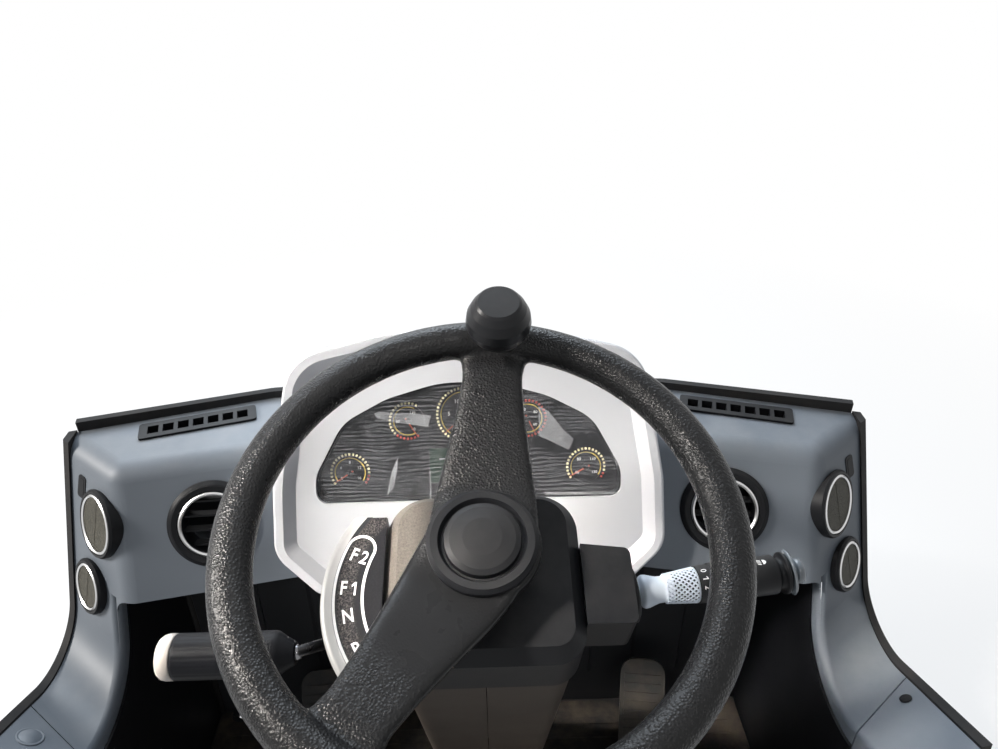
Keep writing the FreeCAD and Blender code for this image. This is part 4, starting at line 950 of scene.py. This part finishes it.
lever_way = Vector((-cos(LEVER_AIM), -sin(LEVER_AIM), 0))
rod = spin([(0, 0), (4.5, 0), (4.5, 52), (6.0, 52.5), (6.0, 58), (0, 58)], 32)
add_piece("lever_rod", gather([rod, barrel(8)]), axis_place(LEVER_PIVOT, lever_way), "shifter",
          "knob_gloss", metal("lever_steel", (0.20, 0.20, 0.21), 0.28))
bend = LEVER_PIVOT + lever_way * (LEVER_BEND / cos(LEVER_AIM))
grip_place = axis_place(bend + Vector((2, 0, 0)), (-1, 0, 0))
grip_finish = plastic("grip_rubber", (0.006, 0.0065, 0.008), 0.42, 1.5, 0.02, 0.02, shine=0.07)
sleeve = spin([(0, 0), (8.6, 0), (9.2, 0.8), (13.2, 8.0), (GRIP_R - 2, 12.0), (GRIP_R - 0.6, 14.2),
               (GRIP_R, 17.0), (GRIP_R, 19.0), (GRIP_R, GRIP_LEN - 17), (GRIP_R, GRIP_LEN - 15),
               (GRIP_R - 0.8, GRIP_LEN - 14), (0, GRIP_LEN - 14)], 128, fluting)
lever = add_piece("lever_sleeve", sleeve, grip_place, "shifter", "knob_gloss", grip_finish)
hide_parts("shift_lever")
dome = spin([(0, GRIP_LEN - 14.1), (GRIP_R - 1.0, GRIP_LEN - 14.1), (GRIP_R, GRIP_LEN - 13),
             (GRIP_R, GRIP_LEN - 8), (GRIP_R - 0.8, GRIP_LEN - 5), (GRIP_R - 3, GRIP_LEN - 2.2),
             (GRIP_R - 7, GRIP_LEN - 0.7), (3.2, GRIP_LEN - 0.05), (2.6, GRIP_LEN - 0.5),
             (0, GRIP_LEN - 0.6)], 64)
add_piece("lever_cap", dome, grip_place, "shifter", "knob_gloss",
          plastic("lever_cap", (0.38, 0.35, 0.32), 0.40, 1.0, 0.05, 0.1))
print("lever made")

# %% [markdown]
# ## The light and wiper stalk
# Near the pod the stalk has a pale flared collar, then a knurled ring that turns, a black band
# with the figures 0, 1 and 2, and a smooth black body with a disc near its end. The knurl is real
# relief: the radius rises and falls along two crossing spirals. A black core just under the ridges
# shows in the valleys as painted shade.

# %% Stalk
STALK_PIVOT, STALK_AIM = (102.0, -17.0, -98.0), radians(6)
KNURL_FROM, KNURL_TO, KNURL_WAYS, KNURL_LEAD, KNURL_STEPS = 50.0, 76.0, 20, 15.0, 40
BAND_R, BODY_R = 15.6, 16.5

stalk_way = (cos(STALK_AIM), sin(STALK_AIM), 0)
stalk_place = axis_place(STALK_PIVOT, stalk_way)


def knurl(turn, height):
    """Ridges 1 mm high along two crossing spirals."""
    if not KNURL_FROM < height < KNURL_TO:
        return 0
    twist = height * KNURL_WAYS / KNURL_LEAD
    crossing = max(sin(KNURL_WAYS * turn + twist), sin(KNURL_WAYS * turn - twist))
    return max(0.0, crossing) ** 0.8


flare = [(0, 0), (7, 0), (7, 28), (9, 29), (12.8, 30), (13.8, 32), (13.6, 35), (12.0, 40),
         (10.9, 44), (10.8, 48), (11.0, 49.9)]
ring = [(11.4 + 2.6 * i / KNURL_STEPS,
         KNURL_FROM + 0.1 + (KNURL_TO - KNURL_FROM - 0.2) * i / KNURL_STEPS)
        for i in range(KNURL_STEPS + 1)]
lip = [(14.2, KNURL_TO + 0.1), (14.4, KNURL_TO + 1.2), (0, KNURL_TO + 1.2)]
add_piece("stalk_collar", spin(flare + ring + lip, 208, knurl), stalk_place, "stalk_arm",
          "black_plastic", plastic("stalk_pale", (0.50, 0.56, 0.64), 0.34, 1.2, 0.04, 0.05))
body = spin([(0, 77.2), (15.4, 77.2), (BAND_R, 78), (BAND_R, 87), (15.1, 87.4), (15.1, 88.4),
             (16.3, 89), (BODY_R, 90), (BODY_R, 145), (15.8, 146), (13, 147), (13, 152),
             (16.6, 152.5), (17.6, 153.2), (17.6, 155), (16.4, 156), (9, 156.6), (9, 158),
             (0, 158)], 96)
stalk = add_piece("stalk_body", gather([body, barrel(9)]), stalk_place, "stalk_arm",
                  "black_plastic")
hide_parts("stalk")
tilt = Matrix.Translation((0, 0, 159.5)) @ Matrix.Rotation(radians(7), 4, "Y")
disc = moved(spin([(0, -1), (18.2, -1), (19.2, 0), (18.2, 1), (11, 1.4), (0, 1.4)], 64), tilt)
neck = spin([(0, 159), (6.5, 159), (6.5, 163.5), (9.8, 164), (10.6, 165), (10.6, 168.6),
             (9.6, 169.8), (0, 170)], 48)
add_piece("stalk_end", gather([disc, neck]), stalk_place, "stalk_arm", "black_plastic",
          plastic("stalk_end", (0.16, 0.18, 0.20), 0.24, 2.0, 0.01, 0.05))
print("stalk made")

# %% [markdown]
# ## Print on the stalk
# The figures and the small lamp signs are made flat and then bent round the stalk: the height
# over the plate becomes a radius, and one direction of the plate becomes an angle.

# %% Stalk print and boot
DIGIT_SIZE, DIGIT_AT, DIGIT_TURN, SIGN_TURN = 7.0, 82.5, 27, -22


def wrapped(part, radius, along, turn):
    """Bends flat print round the stalk: its own X runs along the axis."""
    points, faces = part
    return [((radius + z) * cos(turn - y / radius), (radius + z) * sin(turn - y / radius),
             along + x) for x, y, z in points], faces


figure_one = moved(ONE, Matrix.Diagonal((0.55, 0.45, 1.0, 1.0)))
shapes = (letters("0", DIGIT_SIZE, 0.3), figure_one, letters("2", DIGIT_SIZE, 0.3))
digits = [wrapped(shifted(shape, 0, 0, 0, -pi / 2), BAND_R, DIGIT_AT,
                  radians(DIGIT_TURN * i + SIGN_TURN)) for i, shape in enumerate(shapes)]
half_moon = prism([(0, -2.6), (1.6, -2.2), (2.8, -1.0), (3.0, 0), (2.8, 1.0), (1.6, 2.2),
                   (0, 2.6)], 0, 0.2)
beam = prism(rounded_outline(1.8, 0.28, 0.25, 1), 0, 0.2)
beams = [shifted(beam, -3.2, y, 0, radians(-12)) for y in (-2.2, -0.7, 0.8, 2.3)]
ring_mark = band(2.4, 3.0, 0, 2 * pi, 0, 0.2, 24)
bar = prism(rounded_outline(0.35, 3.4, 0.3, 1), 0, 0.2)
lamp_sign = [(part, 134) for part in (half_moon, *beams)]
symbols = [wrapped(part, BODY_R, along, radians(SIGN_TURN))
           for part, along in (*lamp_sign, (bar, 127), (ring_mark, 120), (bar, 113.5))]
add_piece("stalk_print", gather(digits + symbols), stalk_place, "stalk_arm", "black_plastic",
          white, False)
# Painted shade: a black core just under the pale ridges darkens the knurl's valleys.
valley_shade = spin([(10.0, KNURL_FROM + 6), (12.3, KNURL_FROM + 6.2), (14.2, KNURL_TO - 0.4),
             (10.0, KNURL_TO - 0.2)], 64)
add_piece("stalk_knurl_valley_shade", valley_shade, stalk_place, "stalk_arm", "black_plastic")
boot = spin([(17.5, 0), (24.5, 0), (24, 3.2), (21.5, 4.6), (18.5, 3.4), (17.5, 0)], 64)
add_piece("stalk_boot", boot, axis_place((121.2, -15.0, -97.0), stalk_way), "column",
          "black_plastic")
print("stalk printed:", len(digits) + len(symbols), "marks")

# %% [markdown]
# ## Mesh behind the wing outlets' rings
# Each wing has two round outlets whose flaps are covered by a fine mesh with a brownish sheen.
# The wing is a tilted plane, so the frame of each outlet is found from the plane's own point and
# normal, and the left ones are mirror images of the right.

# %% Outlet mesh and wing slots
RIDGE, WING_TURN, WING_LEAN = Vector((425.8, 91.8, 510.0)), radians(37), radians(18.8)
OUTLET_TURN, OUTLET_LEAN = radians(44), radians(18)
OUTLETS = {"upper": (459.0, 518.0, 34.0), "lower": (486.0, 430.3, 26.9)}   # x, z, bore's radius
SLOT_X, SLOT_Z = 485.6, 550
SIDES = ((1, "right"), (-1, "left"))


def leaning(turn, lean):
    """The direction of a face that is turned inward and leans back."""
    return Vector((sin(turn) * cos(lean), -cos(turn) * cos(lean), sin(lean)))


def wing_place(x, z, normal, side):
    """A frame on the wing at x and z, square to a normal; side -1 mirrors it to the left."""
    wing = leaning(WING_TURN, WING_LEAN)
    y = RIDGE.y - (wing.x * (x - RIDGE.x) + wing.z * (z - RIDGE.z)) / wing.y
    mirror = Matrix.Diagonal((side, 1, 1, 1))
    return mirror @ Matrix.Translation(Vector((x, y, z)) * MM) @ facing(normal, Vector((1, 1, 0)))


netting = Finish("outlet_mesh")
holes = netting.ramp(netting.cells(1.35), (0.30, 1.0), (0.55, 0.0))
netting.set(Base_Color=netting.blend(holes, (0.075, 0.070, 0.052), (0.016, 0.015, 0.012)),
            Roughness=0.55, Specular_IOR_Level=0.2, Normal=netting.bump(holes * -1.0, 0.4))
# Each wing also has a slot above its outlets: a black plate with a raised middle, whose black is
# painted shade in the slot's recess.
plate = prism(rounded_outline(8.0, 15.0, 4.5), 0.05, 0.9)
slot_hole = prism(rounded_outline(4.6, 11.0, 2.4), 0.9, 1.2)
for side, word in SIDES:
    for key, (x, z, bore) in OUTLETS.items():
        rib = prism(rounded_outline(0.5, bore - 1.5, 0.4, 2), 5.0, 5.3)
        disc = spin([(0, 4.4), (bore - 0.3, 4.4), (bore - 0.3, 4.7), (bore - 1.5, 5.0),
                     (0, 5.0)], 72)
        add_piece(f"mesh_{key}_{word}", gather([disc, rib]),
                  wing_place(x, z, leaning(OUTLET_TURN, OUTLET_LEAN), side), "console",
                  "black_plastic", netting, False)
    add_piece(f"wing_slot_{word}", gather([plate, slot_hole]),
              wing_place(SLOT_X, SLOT_Z, leaning(WING_TURN, WING_LEAN), side), "console",
              "black_plastic", None, False)
print("outlets and slots made")

# %% [markdown]
# ## Screw and plug
# On the sill trims there is a cross-head screw on the right and a round plug on the left. Both
# are turned shapes and stand square to the sloping sill.

# %% Sill screw and plug
SILL_NORMAL = Vector((-0.411, 0.3945, 0.822))
SCREW_AT, PLUG_AT = (504.5, -51.5, 367.3), (-498.5, -65.0, 369.3)


def flat_place(point, normal):
    """A frame on a sloping face, with its X level."""
    level = Vector((0, 0, 1)).cross(normal)
    return Matrix.Translation(Vector(point) * MM) @ facing(normal, level)


arms = [prism([(-x, -y), (x, -y), (x, y), (-x, y)], 1.9, 2.15) for x, y in ((2.6, 0.6), (0.6, 2.6))]
screw = spin([(0, 0), (7, 0), (7, 0.8), (5.6, 1.8), (3, 2.05), (0, 2.1)], 40)
plug = spin([(0, 0), (15, 0), (15, 0.9), (14.2, 1.5), (12.6, 1.5), (12.2, 1.0), (11.6, 1.5),
             (0, 1.9)], 64)
add_piece("sill_screw", gather([screw, *arms]), flat_place(SCREW_AT, SILL_NORMAL), "console",
          "black_plastic", None, False)
add_piece("sill_plug", plug, flat_place(PLUG_AT, SILL_NORMAL * Vector((-1, 1, 1))), "console",
          "dash_plastic")
print("sill screw and plug set")

# %% [markdown]
# ## Bolts
# Hexagon bolts hold the column's bracket and the pedals to the floor. A head is two prisms on a
# turned washer, in two sizes.

# %% Bolts
BRACKET_X, BRACKET_Y, BOLT_HALF_X, BOLT_HALF_Y, BRACKET_TOP = 16, 106.4, 68, 46, 14.0
PEDAL_SPOTS = ((-212, 25, -4), (248, 16, 8))   # heel across, half the bolts' spacing, turn
HEEL_Y, PEDAL_BOLT_Y, PEDAL_FOOT_TOP = 92, -20, 11.0


def hexagon(radius, height):
    """A bolt's head on its washer."""
    corners = [(radius * cos(pi * i / 3), radius * sin(pi * i / 3)) for i in range(6)]
    low = prism(corners, 1.6, height - 0.8)
    high = prism([(x * 0.9, y * 0.9) for x, y in corners], height - 0.8, height)
    wide = radius * 1.35
    washer = spin([(0, 0), (wide, 0), (wide, 1.4), (radius * 1.28, 1.7), (0, 1.7)], 32)
    return gather([low, high, washer])


bolts = [shifted(hexagon(9.0, 8.0), BRACKET_X + x, BRACKET_Y + y, BRACKET_TOP)
         for x in (-BOLT_HALF_X, BOLT_HALF_X) for y in (-BOLT_HALF_Y, BOLT_HALF_Y)]
for heel, half, turn in PEDAL_SPOTS:
    for x in (-half, half):
        spot = Matrix.Rotation(radians(-turn), 4, "Z") @ Vector((x, PEDAL_BOLT_Y, 0))
        bolts.append(shifted(hexagon(5.5, 5.5), heel + spot.x, HEEL_Y + spot.y, PEDAL_FOOT_TOP))
add_piece("floor_bolts", gather(bolts), Matrix.Identity(4), "console", "frame_paint",
          metal("bolt_zinc", (0.42, 0.42, 0.40), 0.38), False)
print("bolts:", len(bolts))

# %% [markdown]
# ## Seals in the corners of the footwell
# A hair's breadth of air lies between the back panel of the footwell and its linings, and light
# would show through. A quarter-round rubber strip closes each corner and stops rattles.

# %% Corner seals
CORNER, SEAL_R, SEAL_STEPS = Vector((436.65, 223.95, 0)), 6.0, 6
SEAL_LOW, SEAL_TOP = 6.3, 408.4

turns = [pi / 2 * i / SEAL_STEPS for i in range(SEAL_STEPS + 1)]
quarter = [(0, 0), *((-SEAL_R * cos(turn), -SEAL_R * sin(turn)) for turn in turns)]
for side, word in SIDES:
    corner = Matrix.Diagonal((side, 1, 1, 1)) @ Matrix.Translation(CORNER * MM)
    add_piece(f"corner_seal_{word}", prism(quarter, SEAL_LOW, SEAL_TOP), corner, "console",
              "seal_rubber")
print("corners sealed")
